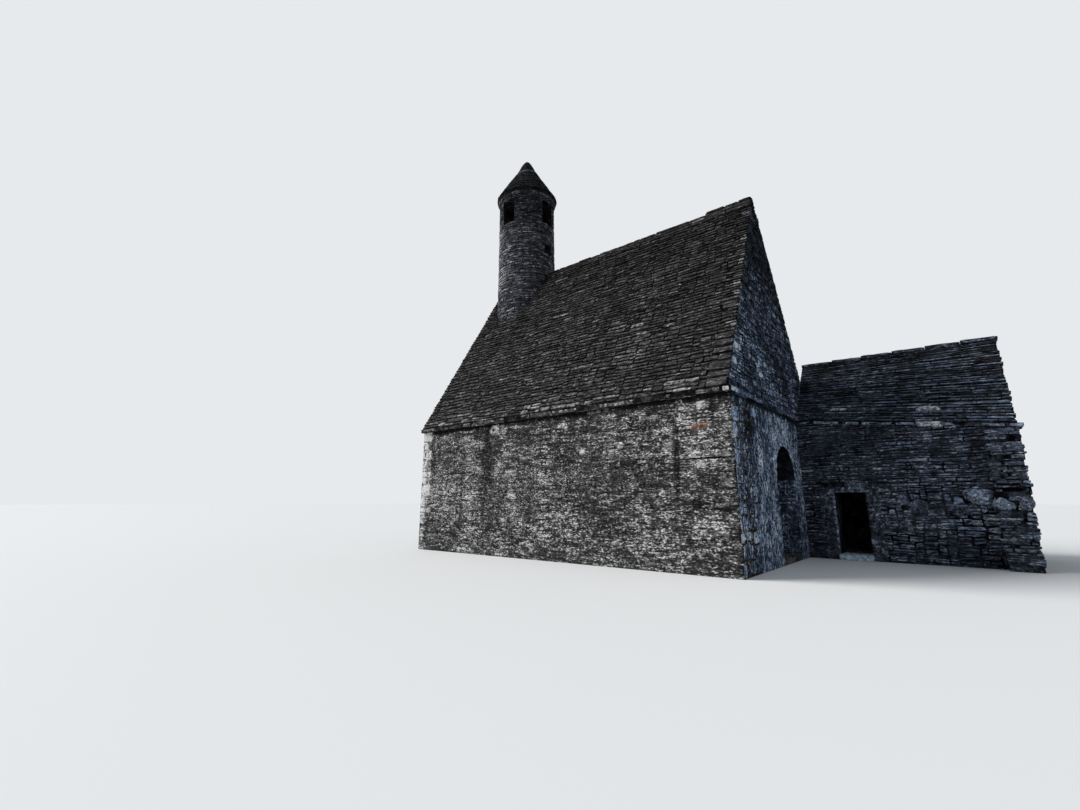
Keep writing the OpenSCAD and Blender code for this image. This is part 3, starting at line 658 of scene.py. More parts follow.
class Finish:
    """A stone finish and short names for the nodes that it is made of."""

    def __init__(self, name):
        self.material = bpy.data.materials.new(name)
        self.material.use_nodes = True
        self.nodes, self.links = self.material.node_tree.nodes, self.material.node_tree.links
        self.nodes.clear()
        self.where = self.add("TexCoord", {})["Object"]
        self.height = self.upward(self.where)

    def set(self, socket, value):
        """Links an output to a socket, or writes a plain value in it."""
        if isinstance(value, bpy.types.NodeSocket):
            self.links.new(value, socket)
        elif socket.type == "RGBA":
            socket.default_value = (*tuple(value)[:3], 1.0)
        else:
            socket.default_value = value

    def add(self, kind, sockets, **settings):
        """Adds a node of a kind, with what goes into its sockets and its settings; gives its outputs."""
        node = self.nodes.new(f"ShaderNode{kind}")
        for name, value in settings.items():
            setattr(node, name, value)
        for name, value in sockets.items():
            self.set(node.inputs[name], value)
        return node.outputs

    def upward(self, vector):
        """The upward part of a place or a direction."""
        return self.add("SeparateXYZ", {"Vector": vector})["Z"]

    def stretched(self, stretch):
        """The object's coordinates, multiplied along each axis if that is asked."""
        if not stretch:
            return self.where
        return self.add("Mapping", {"Vector": self.where, "Scale": stretch})["Vector"]

    def noise(self, scale, detail=3.0, roughness=0.55, stretch=None, distortion=0.0):
        """Cloudy noise, with that many clouds to a metre."""
        return self.add("TexNoise", {"Vector": self.stretched(stretch), "Scale": scale, "Detail": detail,
                                     "Roughness": roughness, "Distortion": distortion})["Fac"]

    def cells(self, scale, stretch=None, feature="F1", output="Distance"):
        """A pattern of cells, with that many cells to a metre."""
        sockets = {"Vector": self.stretched(stretch), "Scale": scale}
        return self.add("TexVoronoi", sockets, feature=feature)[output]

    def own(self, name):
        """A value that each stone keeps for itself."""
        return self.add("Attribute", {}, attribute_name=name)["Fac"]

    def near(self, place, reach, uneven):
        """1 about a place of the building and 0 beyond a reach along each axis, with an uneven edge."""
        centred = {"Vector": self.where, "Scale": [1 / r for r in reach],
                   "Location": [-p / r for p, r in zip(place, reach)]}
        far = self.add("VectorMath", {0: self.add("Mapping", centred)["Vector"]}, operation="LENGTH")["Value"]
        ragged = self.join(uneven, min(1.0, max(0.2, min(reach) / 0.2)))
        return self.level(self.join(far, ragged, "ADD"), 0.70, 1.25, 1.0, 0.0)

    def level(self, value, start, end, to_start=0.0, to_end=1.0):
        """Stretches a range of values to another one, and holds it at its ends."""
        return self.add("MapRange", {"Value": value, "From Min": start, "From Max": end, "To Min": to_start,
                                     "To Max": to_end})["Result"]

    def join(self, a, b, how="MULTIPLY"):
        """Two values, multiplied unless another way is asked."""
        return self.add("Math", {0: a, 1: b}, operation=how)["Value"]

    def mix(self, share, a, b, how="MIX"):
        """Two colours, mixed by a share."""
        return self.add("Mix", {"Factor": share, 6: a, 7: b}, data_type="RGBA", blend_type=how)[2]

    def swing(self, colour, pattern, ratio):
        """A colour made darker and lighter by a noise pattern, mostly by less than that ratio."""
        factor = self.join(ratio ** 16, self.join(pattern, 0.5, "SUBTRACT"), "POWER")
        return self.mix(1.0, colour, factor, "MULTIPLY")

    def fade(self, colour, start, end, left):
        """A colour that darkens from one height to another, until that share of it is left."""
        return self.mix(1.0, colour, self.level(self.height, start, end, 1.0, left), "MULTIPLY")

    def ramp(self, value, *stops):
        """A colour for each value, from stops of place and colour."""
        node = self.nodes.new("ShaderNodeValToRGB")
        self.set(node.inputs["Fac"], value)
        ramp = node.color_ramp
        for k, (place, colour) in enumerate(stops):
            stop = ramp.elements[k] if k < 2 else ramp.elements.new(place)
            stop.position, stop.color = place, (*tuple(colour)[:3], 1.0)
        return node.outputs["Color"]

    def close(self, colour, roughness, bump, depth):
        """Joins the colour, the roughness and the bumps in the shader."""
        normal = self.add("Bump", {"Height": bump, "Distance": depth})["Normal"]
        base = self.mix(1.0, colour, (0.8, 0.8, 0.8), "DARKEN")
        shader = self.add("BsdfPrincipled", {"Base Color": base, "Roughness": roughness,
                                             "Specular IOR Level": 0.08, "Normal": normal})
        self.add("OutputMaterial", {"Surface": shader["BSDF"]})
        return self.material


def shade(colour, factor):
    """A colour made lighter or darker."""
    return tuple(min(1.0, c * factor) for c in tuple(colour)[:3])


def stone_finish(name, dark, light, crust, grain=1.5, clouds=1.35, weather=1.25, layers=1.2, speckle=1.5,
                 stretch=(1.0, 1.0, 1.0), crusts=0.5, crust_size=7.0, flecks=0.5, pits=0.8, pit_size=11,
                 pitted=0.0, cracks=0.3, streaks=0.0, streak_top=WALL_TOP, eaves=0.0, edges=0.5, marks=(),
                 ledges=0.0, stones="laid", joints=0.9, flush=0.0, fade=None, relief=0.14):
    """Weathered stone: its own shade, blotches, crusts and flecks of lichen, cracks, streaks and worn edges,
    with painted shade and a painted shadow line under the eaves, upward faces lightened partly by lichen and
    partly by painted skylight, and marks of stains and of painted light and shade.

    Laid stones carry their own shade and wear. On bare solids a pattern of cells gives them, or nothing."""
    f = Finish(name)
    fine = f.noise(12, detail=4, roughness=0.68, stretch=stretch)
    cloudy = f.noise(3.8, detail=5, roughness=0.66, stretch=stretch)
    weathered = f.noise(0.9, detail=3, roughness=0.6)
    bedded = f.noise(2.6, detail=5, roughness=0.7, stretch=(1.0, 1.0, 7.0))
    specks = f.noise(27, detail=2, roughness=0.6, stretch=stretch)
    tone, wear = 0.5, 0.6
    if stones == "laid":
        tone, wear = f.own("tone"), f.own("worn")
    if stones == "cells":
        blocks = (1.0, 1.0, 2.4)
        tone = f.cells(4.2, blocks, output="Color")
        wear = f.level(f.cells(4.2, blocks, feature="DISTANCE_TO_EDGE"), 0.0, 0.06, 0.3, 0.75)
    centre = tuple(math.sqrt(a * b) for a, b in zip(dark, light))
    colour = f.ramp(tone, (0.0, dark), (1.0, light), (0.5, centre))
    swings = ((specks, speckle), (fine, grain), (cloudy, clouds), (weathered, weather), (bedded, layers))
    for pattern, ratio in swings:
        colour = f.swing(colour, pattern, ratio)

    # Lichen
    spread = f.noise(crust_size, detail=8, roughness=0.75, stretch=stretch, distortion=0.3)
    where = f.level(weathered, 0.42, 0.58, 0.10, crusts)
    colour = f.mix(f.join(f.level(spread, 0.50, 0.56), where), colour, f.swing(crust, fine, 1.4))
    dots = f.level(f.cells(9, stretch), 0.20, 0.33, 1.0, 0.0)
    chosen = f.level(f.cells(9, stretch, output="Color"), 0.62, 0.68, 0.0, flecks)
    crowded = f.level(f.noise(1.3, detail=3), 0.45, 0.56, 0.2, 1.0)
    colour = f.mix(f.join(f.join(dots, chosen), crowded), colour, shade(crust, 1.8))

    # Pits and cracks
    hollows = f.noise(pit_size, detail=4, roughness=0.65, stretch=(1.0, 1.0, 1.6))
    colour = f.mix(f.level(hollows, 0.40 + pitted, 0.44 + pitted, pits, 0.0), colour, shade(dark, 0.2))
    splits = f.noise(2.0, detail=4, roughness=0.6, stretch=(1.0, 1.0, 11.0))
    colour = f.mix(f.level(splits, 0.41, 0.44, cracks, 0.0), colour, shade(dark, 0.25))

    # What the rain draws, and below the eaves painted shade and a painted shadow line
    if streaks:
        runs = f.noise(1.7, detail=2, roughness=0.5, stretch=(1.0, 1.0, 0.08))
        broken = f.level(f.noise(6, detail=4, stretch=(1.0, 1.0, 0.4)), 0.40, 0.56, 0.2, 1.0)
        reach = f.level(f.height, streak_top - 3.4, streak_top - 0.3, 0.35, 1.0)
        runs = f.join(f.level(runs, 0.49, 0.57, 0.0, streaks), reach)
        colour = f.mix(f.join(runs, broken), colour, f.swing(shade(dark, 0.4), fine, 1.6))
    # Below the eaves: dark drip stripes, partly stains and partly painted shade under the eaves
    if eaves:
        drips = f.level(f.noise(3.4, detail=3, stretch=(1.0, 1.0, 0.10)), 0.48, 0.56, 0.0, 1.0)
        under = f.level(f.height, WALL_TOP - 0.50, WALL_TOP - 0.10, 0.0, eaves)
        colour = f.mix(f.join(under, drips), colour, shade(dark, 0.2))
        # A near-black band at the wall head: a painted shadow line under the eaves course
        edge = f.join(f.height, f.level(cloudy, 0.40, 0.60, -0.05, 0.05), "ADD")
        line = f.level(edge, WALL_TOP - 0.12, WALL_TOP - 0.07, 0.0, 0.98)
        colour = f.mix(line, colour, shade(dark, 0.06))

    # What single stones and places have: pale and red stones, worn edges, and marks of stains and of painted
    # light and shade
    if stones == "laid":
        patchy = f.level(f.noise(9, detail=5, roughness=0.7), 0.44, 0.53)
        colour = f.mix(f.join(f.own("pale"), patchy), colour, f.swing(shade(crust, 1.4), fine, 1.35))
        reddish = f.join(f.own("red"), f.join(patchy, 0.35, "ADD"))
        colour = f.mix(reddish, colour, f.swing(colours().rust, fine, 1.5))
        worn = f.level(f.noise(8, detail=4, roughness=0.65), 0.45, 0.56, 0.0, edges)
        colour = f.mix(f.join(f.level(wear, 0.85, 1.0), worn), colour, shade(light, 1.6))
    if marks:
        uneven = f.level(f.noise(6, detail=4, roughness=0.7), 0.35, 0.65, -0.55, 0.55)
    for *spot, factor in marks:
        colour = f.mix(f.near(spot[:3], spot[3:], uneven), colour, [factor] * 3, "MULTIPLY")

    # Upward faces lightened, partly lichen and partly painted skylight; the damp foot; joints; and darkening
    # with height, painted shade on the east gable, the belfry and the arch's reveals, and on the roof darker
    # towards the ridge
    if ledges:
        # Faces that look up get pale patches: partly lichen, partly painted skylight on their tops
        facing_up = f.level(f.upward(f.add("NewGeometry", {})["Normal"]), 0.15, 0.60)
        lichen_and_lit_top_mask = f.join(facing_up, f.level(f.noise(5, detail=4), 0.43, 0.55, 0.1, ledges))
        colour = f.mix(lichen_and_lit_top_mask, colour, f.swing(crust, fine, 1.3))
    colour = f.mix(f.level(f.height, 0.0, 0.6, 0.35, 0.0), colour, shade(dark, 0.6))
    if joints:
        deep = f.level(wear, 0.30, 0.75, joints, 0.0)
        if flush:
            deep = f.join(deep, f.level(f.noise(2.6, detail=4, roughness=0.6), 0.46, 0.56, 1.0 - flush, 1.0))
        colour = f.mix(deep, colour, shade(dark, 0.13))
    # Darkening with height: painted shade on the east gable, the belfry and the arch's reveals; on the roof and
    # west gable only darker towards the ridge
    if fade:
        colour = f.fade(colour, *fade)
    bumps = f.join(f.join(fine, 0.6), f.join(cloudy, 0.9), "ADD")
    bumps = f.join(bumps, f.join(bedded, (layers - 1) * 1.5), "ADD")
    return f.close(colour, f.level(fine, 0.4, 0.6, 0.98, 0.82), bumps, relief)


def mortar_finish(name, dark, light, black=0.5, fade=None, swing=1.4):
    """Old mortar and chippings between the stones, flush in places and washed out in others."""
    f = Finish(name)
    fine = f.noise(13, detail=4, roughness=0.68)
    colour = tuple((a + b) / 2 for a, b in zip(dark, light))
    for pattern in (fine, f.noise(3.0, detail=4, roughness=0.65)):
        colour = f.swing(colour, pattern, swing)
    chips = f.level(f.cells(16, (1.0, 1.0, 1.8)), 0.16, 0.30, 0.6, 0.0)
    colour = f.mix(chips, colour, shade(light, 1.2))
    holes = f.level(f.noise(3.4, detail=5, roughness=0.7), 0.44, 0.56, 0.0, black)
    colour = f.mix(holes, colour, shade(dark, 0.12))
    if fade:
        colour = f.fade(colour, *fade)
    return f.close(colour, 0.95, f.join(fine, chips, "ADD"), 0.06)


# Height where a finish starts to darken, height where that ends, and how much of the colour is left there
# The east gable darkens towards its top: painted shade
GABLE_SHADE_FADE = (ROOF_BASE + 0.6, ROOF_BASE + 3.9, 0.13)
ROOF_FADE = (ROOF_BASE, RIDGE_END, 0.60)
# The belfry's head darkens above the bell sill: painted shade
BELFRY_SHADE_FADE = (BELL_SILL - 0.5, BELL_SILL + 0.3, 0.34)
# The chancel arch's reveals and soffit darken upwards: painted shade inside the opening
REVEAL_SHADE_FADE = (1.2, 2.5, 0.15)


# Marks are stains and bleached places, and on the belfry and a door jamb painted light and shade: a place, a
# reach along each axis, and a factor on the colour there
SOUTH_FACE_Y = -3.39
SOUTH_MARK_DEPTH = 0.4


def on_south_wall(*marks):
    """Marks on the south wall, from their x and z, their reach across and up, and their factor."""
    return tuple((x, SOUTH_FACE_Y, z, across, SOUTH_MARK_DEPTH, high_up, factor)
                 for x, z, across, high_up, factor in marks)


def on_east_face(x, depth, *marks):
    """Marks on a face at x, that deep, from their y and z, their reach across and up, and their factor."""
    return tuple((x, y, z, depth, across, high_up, factor) for y, z, across, high_up, factor in marks)


SOUTH_MARKS = (
    *on_south_wall(
        (-4.70, 2.35, 0.28, 1.70, 4.5), (-4.31, 2.60, 0.10, 0.95, 0.45), (-3.82, 2.80, 0.14, 0.75, 1.45),
        (-1.97, 2.60, 0.18, 0.95, 0.38), (-2.9, 2.3, 0.12, 0.9, 0.6), (-1.51, 3.33, 0.32, 0.14, 1.9),
        (-0.87, 2.86, 0.19, 0.12, 2.0), (-1.15, 2.35, 0.46, 0.09, 1.7), (-1.79, 1.60, 0.18, 0.13, 1.9),
        (-1.03, 1.57, 0.20, 0.10, 1.7), (0.76, 2.45, 0.25, 0.75, 0.50), (0.72, 3.22, 0.19, 0.07, 2.3),
        (3.62, 2.45, 0.07, 0.95, 0.28), (4.41, 3.18, 0.08, 0.27, 0.35), (2.66, 3.12, 0.12, 0.34, 0.50),
        (2.42, 2.19, 0.30, 0.16, 0.55), (4.27, 1.27, 0.45, 0.16, 0.45), (4.01, 1.95, 0.38, 0.30, 1.5),
        (4.14, 3.30, 0.21, 0.14, 2.1), (1.69, 2.08, 0.50, 0.80, 1.35), (4.25, 2.24, 0.62, 0.022, 0.10),
        (4.25, 2.285, 0.60, 0.02, 1.9), (2.33, 2.62, 0.08, 0.07, 5.0), (1.25, 2.56, 0.08, 0.07, 4.0),
        (0.77, 3.20, 0.09, 0.06, 4.5), (3.69, 3.06, 0.07, 0.05, 6.0), (1.40, 2.89, 0.10, 0.06, 3.5),
        (4.66, 1.09, 0.06, 0.05, 2.2), (4.51, 0.87, 0.045, 0.045, 4.0)),
    (HALF_LENGTH + 0.11, -2.9, 1.7, 0.13, 1.5, 3.5, 0.30))
EAST_MARKS = on_east_face(
    4.82, 0.4,
    (-2.42, 2.98, 0.30, 0.60, 0.08), (-0.60, 3.20, 0.95, 0.42, 1.6), (-3.02, 2.96, 0.30, 0.28, 1.5),
    (-1.77, 2.29, 0.22, 0.22, 1.7), (-1.24, 1.67, 0.40, 0.26, 1.35), (-2.40, 1.23, 1.10, 0.25, 0.60),
    (-2.46, 1.90, 0.45, 0.14, 0.55), (-3.30, 2.20, 0.10, 1.00, 1.4))
GABLE_MARKS = on_east_face(
    4.65, 0.5,
    (-2.80, 4.50, 0.22, 0.45, 3.6), (-1.56, 4.91, 0.75, 0.45, 1.5), (-1.32, 4.31, 0.60, 0.50, 1.5),
    (-1.20, 5.44, 0.14, 0.22, 2.6), (-2.32, 4.86, 0.12, 0.26, 3.0), (-1.40, 6.05, 0.12, 0.20, 3.0),
    (-0.70, 5.80, 0.12, 0.20, 2.2), (-1.85, 4.73, 0.12, 0.16, 2.6), (-1.23, 4.38, 0.16, 0.20, 2.4),
    (-0.84, 3.97, 0.20, 0.10, 2.4), (0.60, 4.60, 0.70, 0.70, 0.6))
CORNER_MARKS = ((4.72, -3.42, 3.66, 0.26, 0.30, 0.2, 2.2), (4.28, -3.42, 3.68, 0.12, 0.2, 0.2, 2.6))
COURSE_MARKS = ((4.86, -3.30, 3.66, 0.2, 0.22, 0.2, 4.0),)
# The belfry's south-west side lighter and its east side darker: painted light and painted shade
BELFRY_LIT_AND_SHADED_MARKS = (
    (BELFRY_X - 1.0, -0.9, 9.9, 0.9, 0.9, 1.7, 1.70), (BELFRY_X + 1.1, -0.1, 10.4, 0.8, 1.3, 2.4, 0.62))
SACRISTY_MARKS = (
    (7.3, SAC_SOUTH, 0.85, 1.9, 0.25, 1.0, 1.7), (8.85, SAC_SOUTH - 0.2, 1.5, 0.45, 0.3, 1.8, 1.35),
    (6.2, SAC_SOUTH, 2.9, 0.9, 0.3, 0.3, 0.65), (7.0, SAC_SOUTH + 0.9, 4.6, 3.4, 1.4, 1.4, 0.72))
# A pale strip along the west jamb's inner edge: a painted highlight on the doorway's lit edge
JAMB_HIGHLIGHT_MARKS = ((DOOR_WEST - 0.01, SAC_SOUTH, 0.9, 0.026, 0.1, 0.8, 3.2),)

# How grain is drawn out along x, y and z: lower numbers draw it longer
LEVEL_GRAIN = (0.50, 0.50, 1.7)
COURSE_GRAIN = (0.35, 0.35, 2.0)
SLOPE_GRAIN = (0.45, 1.5, 1.5)
HANGING_GRAIN = (1.35, 1.35, 0.50)
SOUTH_GRAIN = (0.65, 0.65, 1.5)

# Looks that stones share with the mortar flush with them, or with other stones
# The eaves value of these looks paints shade and a shadow line below the eaves course
SOUTH_WALL_LOOK = {
    "grain": 1.50, "clouds": 1.40, "weather": 1.42, "layers": 1.40, "speckle": 2.3, "stretch": SOUTH_GRAIN,
    "crusts": 0.16, "crust_size": 5.0, "flecks": 0.8, "pits": 0.92, "pit_size": 9, "pitted": 0.015,
    "cracks": 0.95, "streaks": 0.95, "eaves": 0.65, "edges": 0.2, "marks": SOUTH_MARKS}
EAST_WALL_LOOK = {
    "grain": 2.2, "clouds": 1.70, "weather": 1.40, "layers": 1.05, "speckle": 2.3, "stretch": HANGING_GRAIN,
    "crusts": 0.9, "crust_size": 8.0, "flecks": 1.0, "pits": 0.92, "pitted": 0.02, "cracks": 0.35,
    "streaks": 0.95, "eaves": 0.8, "edges": 0.25, "marks": EAST_MARKS}
SACRISTY_LOOK = {
    "grain": 1.85, "clouds": 1.40, "weather": 1.28, "layers": 1.6, "speckle": 1.7, "stretch": LEVEL_GRAIN,
    "crusts": 0.30, "flecks": 0.30, "cracks": 0.9, "streaks": 0.3, "ledges": 0.6, "joints": 0.75,
    "flush": 0.5}
BARE_LOOK = {"stones": "none", "joints": 0.0}


def stone_looks():
    """Each finish of stone: its darkest and lightest colour, that of its crusts, and its look."""
    c = colours()
    belfry_crust, slate_crust = shade(c.lichen, 0.8), shade(c.shaded_east_lichen, 0.75)
    return {
        "south_wall_stone": (c.wall_dark, c.wall_light, c.lichen, dict(
            SOUTH_WALL_LOOK, joints=0.75, flush=0.7)),
        "wall_core": (c.wall_dark, shade(c.wall_light, 0.9), c.lichen, dict(SOUTH_WALL_LOOK, **BARE_LOOK)),
        # East face stones and mortar: colours with the painted blue of skylight in shade
        "east_wall_stone": (c.shaded_east_dark, c.shaded_east_light, c.shaded_east_lichen, dict(
            EAST_WALL_LOOK, joints=0.7, flush=0.85)),
        "east_core": (c.shaded_east_dark, shade(c.shaded_east_light, 0.8), c.shaded_east_lichen, dict(
            EAST_WALL_LOOK, **BARE_LOOK)),
        # East gable: colours with painted skylight blue, darkening upwards as painted shade
        "gable_stone": (shade(c.shaded_east_dark, 0.12), shade(c.shaded_east_light, 0.50), shade(c.shaded_east_lichen, 0.95), dict(
            grain=2.1, clouds=1.5, weather=1.4, layers=1.3, speckle=1.9, crusts=0.7, crust_size=9.0,
            flecks=1.0, cracks=0.8, streaks=0.5, streak_top=RIDGE_END, edges=1.0, marks=GABLE_MARKS,
            fade=GABLE_SHADE_FADE)),
        "west_gable_stone": (shade(c.wall_dark, 0.4), shade(c.wall_light, 0.55), c.lichen, dict(
            grain=1.8, crusts=0.35, streaks=0.5, streak_top=RIDGE_END, joints=0.7, flush=0.6,
            fade=ROOF_FADE)),
        "eaves_stone": (shade(c.roof_dark, 1.2), shade(c.roof_light, 1.35), c.lichen, dict(
            grain=2.1, layers=1.7, crusts=0.4, crust_size=4.5, cracks=0.9, marks=CORNER_MARKS)),
        # East gable's course: darkened to a dark band, a painted shadow line under its slabs, with painted
        # skylight blue
        "east_course_shaded_stone": (shade(c.shaded_east_dark, 0.25), shade(c.shaded_east_light, 0.25), c.shaded_east_lichen, dict(
            grain=1.6, crusts=0.3, marks=COURSE_MARKS)),
        "roof_slab": (c.roof_dark, c.roof_light, shade(c.lichen, 0.8), dict(
            grain=1.6, clouds=1.18, weather=1.12, layers=1.3, speckle=1.6, stretch=SLOPE_GRAIN, crusts=0.12,
            flecks=0.45, cracks=0.4, edges=0.35, joints=0.7, flush=0.6, fade=ROOF_FADE, relief=0.10)),
        # Belfry: painted light on its south-west side, painted shade on its east side and, through its fade, on
        # its head
        "belfry_rubble": (c.belfry_dark, c.belfry_light, belfry_crust, dict(
            grain=2.0, clouds=1.25, weather=1.1, layers=1.6, speckle=1.6, stretch=COURSE_GRAIN, flecks=0.6,
            cracks=0.6, marks=BELFRY_LIT_AND_SHADED_MARKS, fade=BELFRY_SHADE_FADE)),
        # Under the cornice: darkened as painted shade on its underside
        "soffit_shaded_stone": (shade(c.belfry_dark, 0.35), shade(c.belfry_light, 0.38), belfry_crust, dict(
            grain=1.4, layers=1.1, crusts=0.1, flecks=0.1)),
        # Cornice rim: near black, a painted shadow line under the cap's overhang
        "rim_shadow_stone": (shade(c.cap_dark, 0.5), shade(c.cap_light, 0.3), belfry_crust, dict(
            crusts=0.0, flecks=0.0)),
        # Cap stones: dark slate with painted shade darkening it further
        "cap_stone": (c.cap_dark, c.cap_light, belfry_crust, dict(
            stretch=LEVEL_GRAIN, crusts=0.05, flecks=0.1)),
        "cap_top_stone": (c.cap_dark, c.cap_light, belfry_crust, dict(BARE_LOOK, crusts=0.05, flecks=0.1)),
        # Sacristy's south side: slate colours with the painted blue of skylight in shade
        "sacristy_rubble": (c.shaded_slate_dark, c.shaded_slate_light, slate_crust, dict(
            SACRISTY_LOOK, marks=SACRISTY_MARKS)),
        "far_rubble": (c.far_dark, c.far_light, shade(c.lichen, 0.8), SACRISTY_LOOK),
        "boulder_stone": (
            shade(c.shaded_slate_light, 0.4), shade(c.shaded_slate_light, 1.55), shade(c.shaded_east_lichen, 0.8), dict(
                layers=1.05, flecks=0.4, pits=0.5, cracks=0.0, ledges=0.7)),
        "lump_stone": (*(shade(c.belfry_light, factor) for factor in (1.1, 2.1, 2.9)), dict(
            grain=1.6, layers=1.05, crusts=0.6, cracks=0.0, ledges=0.9)),
        # Jamb stones: slate colours with painted skylight blue, and a painted highlight on the west jamb's edge
        "jamb_stone": (shade(c.shaded_slate_light, 0.42), shade(c.shaded_slate_light, 1.1), slate_crust, dict(
            BARE_LOOK, grain=1.6, crusts=0.3, flecks=0.2, marks=JAMB_HIGHLIGHT_MARKS)),
        # Arch reveals: darkened, nearly black towards the top, as painted shade inside the arch
        "reveal_shaded_stone": (shade(c.shaded_east_dark, 0.80), shade(c.shaded_east_light, 0.32), shade(c.shaded_east_lichen, 0.3), dict(
            grain=1.6, layers=1.05, crusts=0.2, flecks=0.0, cracks=0.0, edges=0.0, joints=0.1,
            fade=REVEAL_SHADE_FADE)),
        "sacristy_block": (shade(c.shaded_slate_light, 0.5), shade(c.shaded_slate_light, 1.3), slate_crust, dict(
            BARE_LOOK, crusts=0.3)),
        # Threshold: pale and blue, brightened as painted skylight on its upward face
        "threshold_skylit_stone": (*(shade(c.shaded_east_lichen, factor) for factor in (1.9, 2.4, 1.6)), dict(
            BARE_LOOK, grain=1.35, clouds=1.25, layers=1.1, crusts=0.3, pits=0.4, cracks=0.1)),
        "arch_stone": (shade(c.wall_dark, 0.7), shade(c.wall_light, 0.8), c.lichen, dict(
            BARE_LOOK, crusts=0.4, crust_size=5.5)),
        "floor_flags": (shade(c.wall_dark, 0.8), shade(c.wall_light, 0.8), c.lichen, dict(
            layers=1.1, crusts=0.15, cracks=0.0, stones="cells")),
    }


def mortar_looks():
    """Each finish of mortar: its darkest and lightest colour, how black its holes are, its fade and swing."""
    c = colours()
    return {
        # Arch soffit: darkened upwards as painted shade inside the arch
        "reveal_shaded_core": (shade(c.shaded_east_dark, 0.5), shade(c.shaded_east_light, 0.25), 0.7, REVEAL_SHADE_FADE),
        # Gable mortar: painted blue of skylight in shade, darkening upwards as painted shade
        "gable_core": (shade(c.shaded_east_dark, 0.2), shade(c.shaded_east_light, 0.15), 0.9, GABLE_SHADE_FADE, 1.6),
        "roof_core": (shade(c.roof_dark, 0.45), shade(c.roof_light, 0.6), 1.0, ROOF_FADE),
        # Belfry mortar darkens above the bell sill: painted shade
        "belfry_core": (shade(c.belfry_dark, 0.4), shade(c.belfry_light, 0.5), 0.9, BELFRY_SHADE_FADE),
        "sacristy_core": (shade(c.shaded_slate_dark, 0.5), shade(c.shaded_slate_light, 0.5), 1.0),
    }


def finish_of(name):
    """One of the finishes, made when it is first asked for."""
    if name in bpy.data.materials:
        return bpy.data.materials[name]
    stones = stone_looks()
    if name in stones:
        dark, light, crust, look = stones[name]
        return stone_finish(name, dark, light, crust, **look)
    return mortar_finish(name, *mortar_looks()[name])


# Faces of the building


def face_at(opposite, origin, right, up):
    """A flat face, or the one that is half a turn about the building's middle away from it."""
    sign = -1 if opposite else 1
    return FlatFace(*((sign * x, sign * y, z) for x, y, z in (origin, right, up)))


def wall_face(side):
    """The battered face of a nave wall, its origin at the left foot as seen from outside, and its width."""
    x, y = WALL_FOOT_X, WALL_FOOT_Y
    if side in ("south", "north"):
        return face_at(side == "north", (-x, -y, 0), (1, 0, 0), (0, BATTER, WALL_TOP)), 2 * x
    return face_at(side == "west", (x, -y, 0), (0, 1, 0), (-BATTER, 0, WALL_TOP)), 2 * y


def gable_face(side):
    """The leaning face of a nave gable, its origin at the left end of its foot."""
    return face_at(side == "west", (HALF_LENGTH, -SLOPE_FOOT, ROOF_BASE), (0, 1, 0), (-GABLE_LEAN, 0, 1))


def roof_face(side):
    """The root plane of a nave roof slope, its origin at the left end of its foot."""
    foot = (-HALF_LENGTH, -SLOPE_FOOT, ROOF_BASE)
    return face_at(side == "north", foot, (1, 0, 0), (0, SLOPE_RUN, SLOPE_RISE))


def sacristy_eaves(x):
    """Height of the sacristy's wall head, which falls from the nave to the east end."""
    share = (x - HALF_LENGTH) / (SAC_EAST - HALF_LENGTH)
    return SAC_EAVES_WEST + (SAC_EAVES_EAST - SAC_EAVES_WEST) * share


class CHAPEL_OT_finish_solids(bpy.types.Operator):
    """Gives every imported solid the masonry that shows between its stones"""

    bl_idname = "chapel.finish_solids"
    bl_label = "Finish the solids"

    # The pale slot takes the threshold's painted skylight
    by_slot = {
        "wall_stone": "wall_core", "roof_stone": "roof_core", "belfry_stone": "belfry_core",
        "sacristy_stone": "sacristy_core", "pale_stone": "threshold_skylit_stone", "floor_stone": "floor_flags"}
    # The arch's wedge stones take the reveal's painted shade
    by_node = {
        "chancel_arch_voussoirs": "reveal_shaded_core", "west_door_lintel": "arch_stone",
        "nave_east_gable": "gable_core", "nave_east_wall_head": "east_core",
        "nave_east_wall_south": "east_core", "nave_east_wall_north": "east_core",
        "gable_course_east": "east_core", "gable_course_west": "roof_core",
        "eaves_course_south": "roof_core", "eaves_course_north": "roof_core",
        "belfry_cap_stone": "cap_top_stone"}

    def execute(self, context):
        slots = {part["node"]: part["material_slot"] for part in frame["record"]["subparts"]}
        for node, solid in frame["nodes"].items():
            finish = finish_of(self.by_node.get(node) or self.by_slot[slots[node]])
            for slot in solid.material_slots:
                slot.material = finish
        return {"FINISHED"}


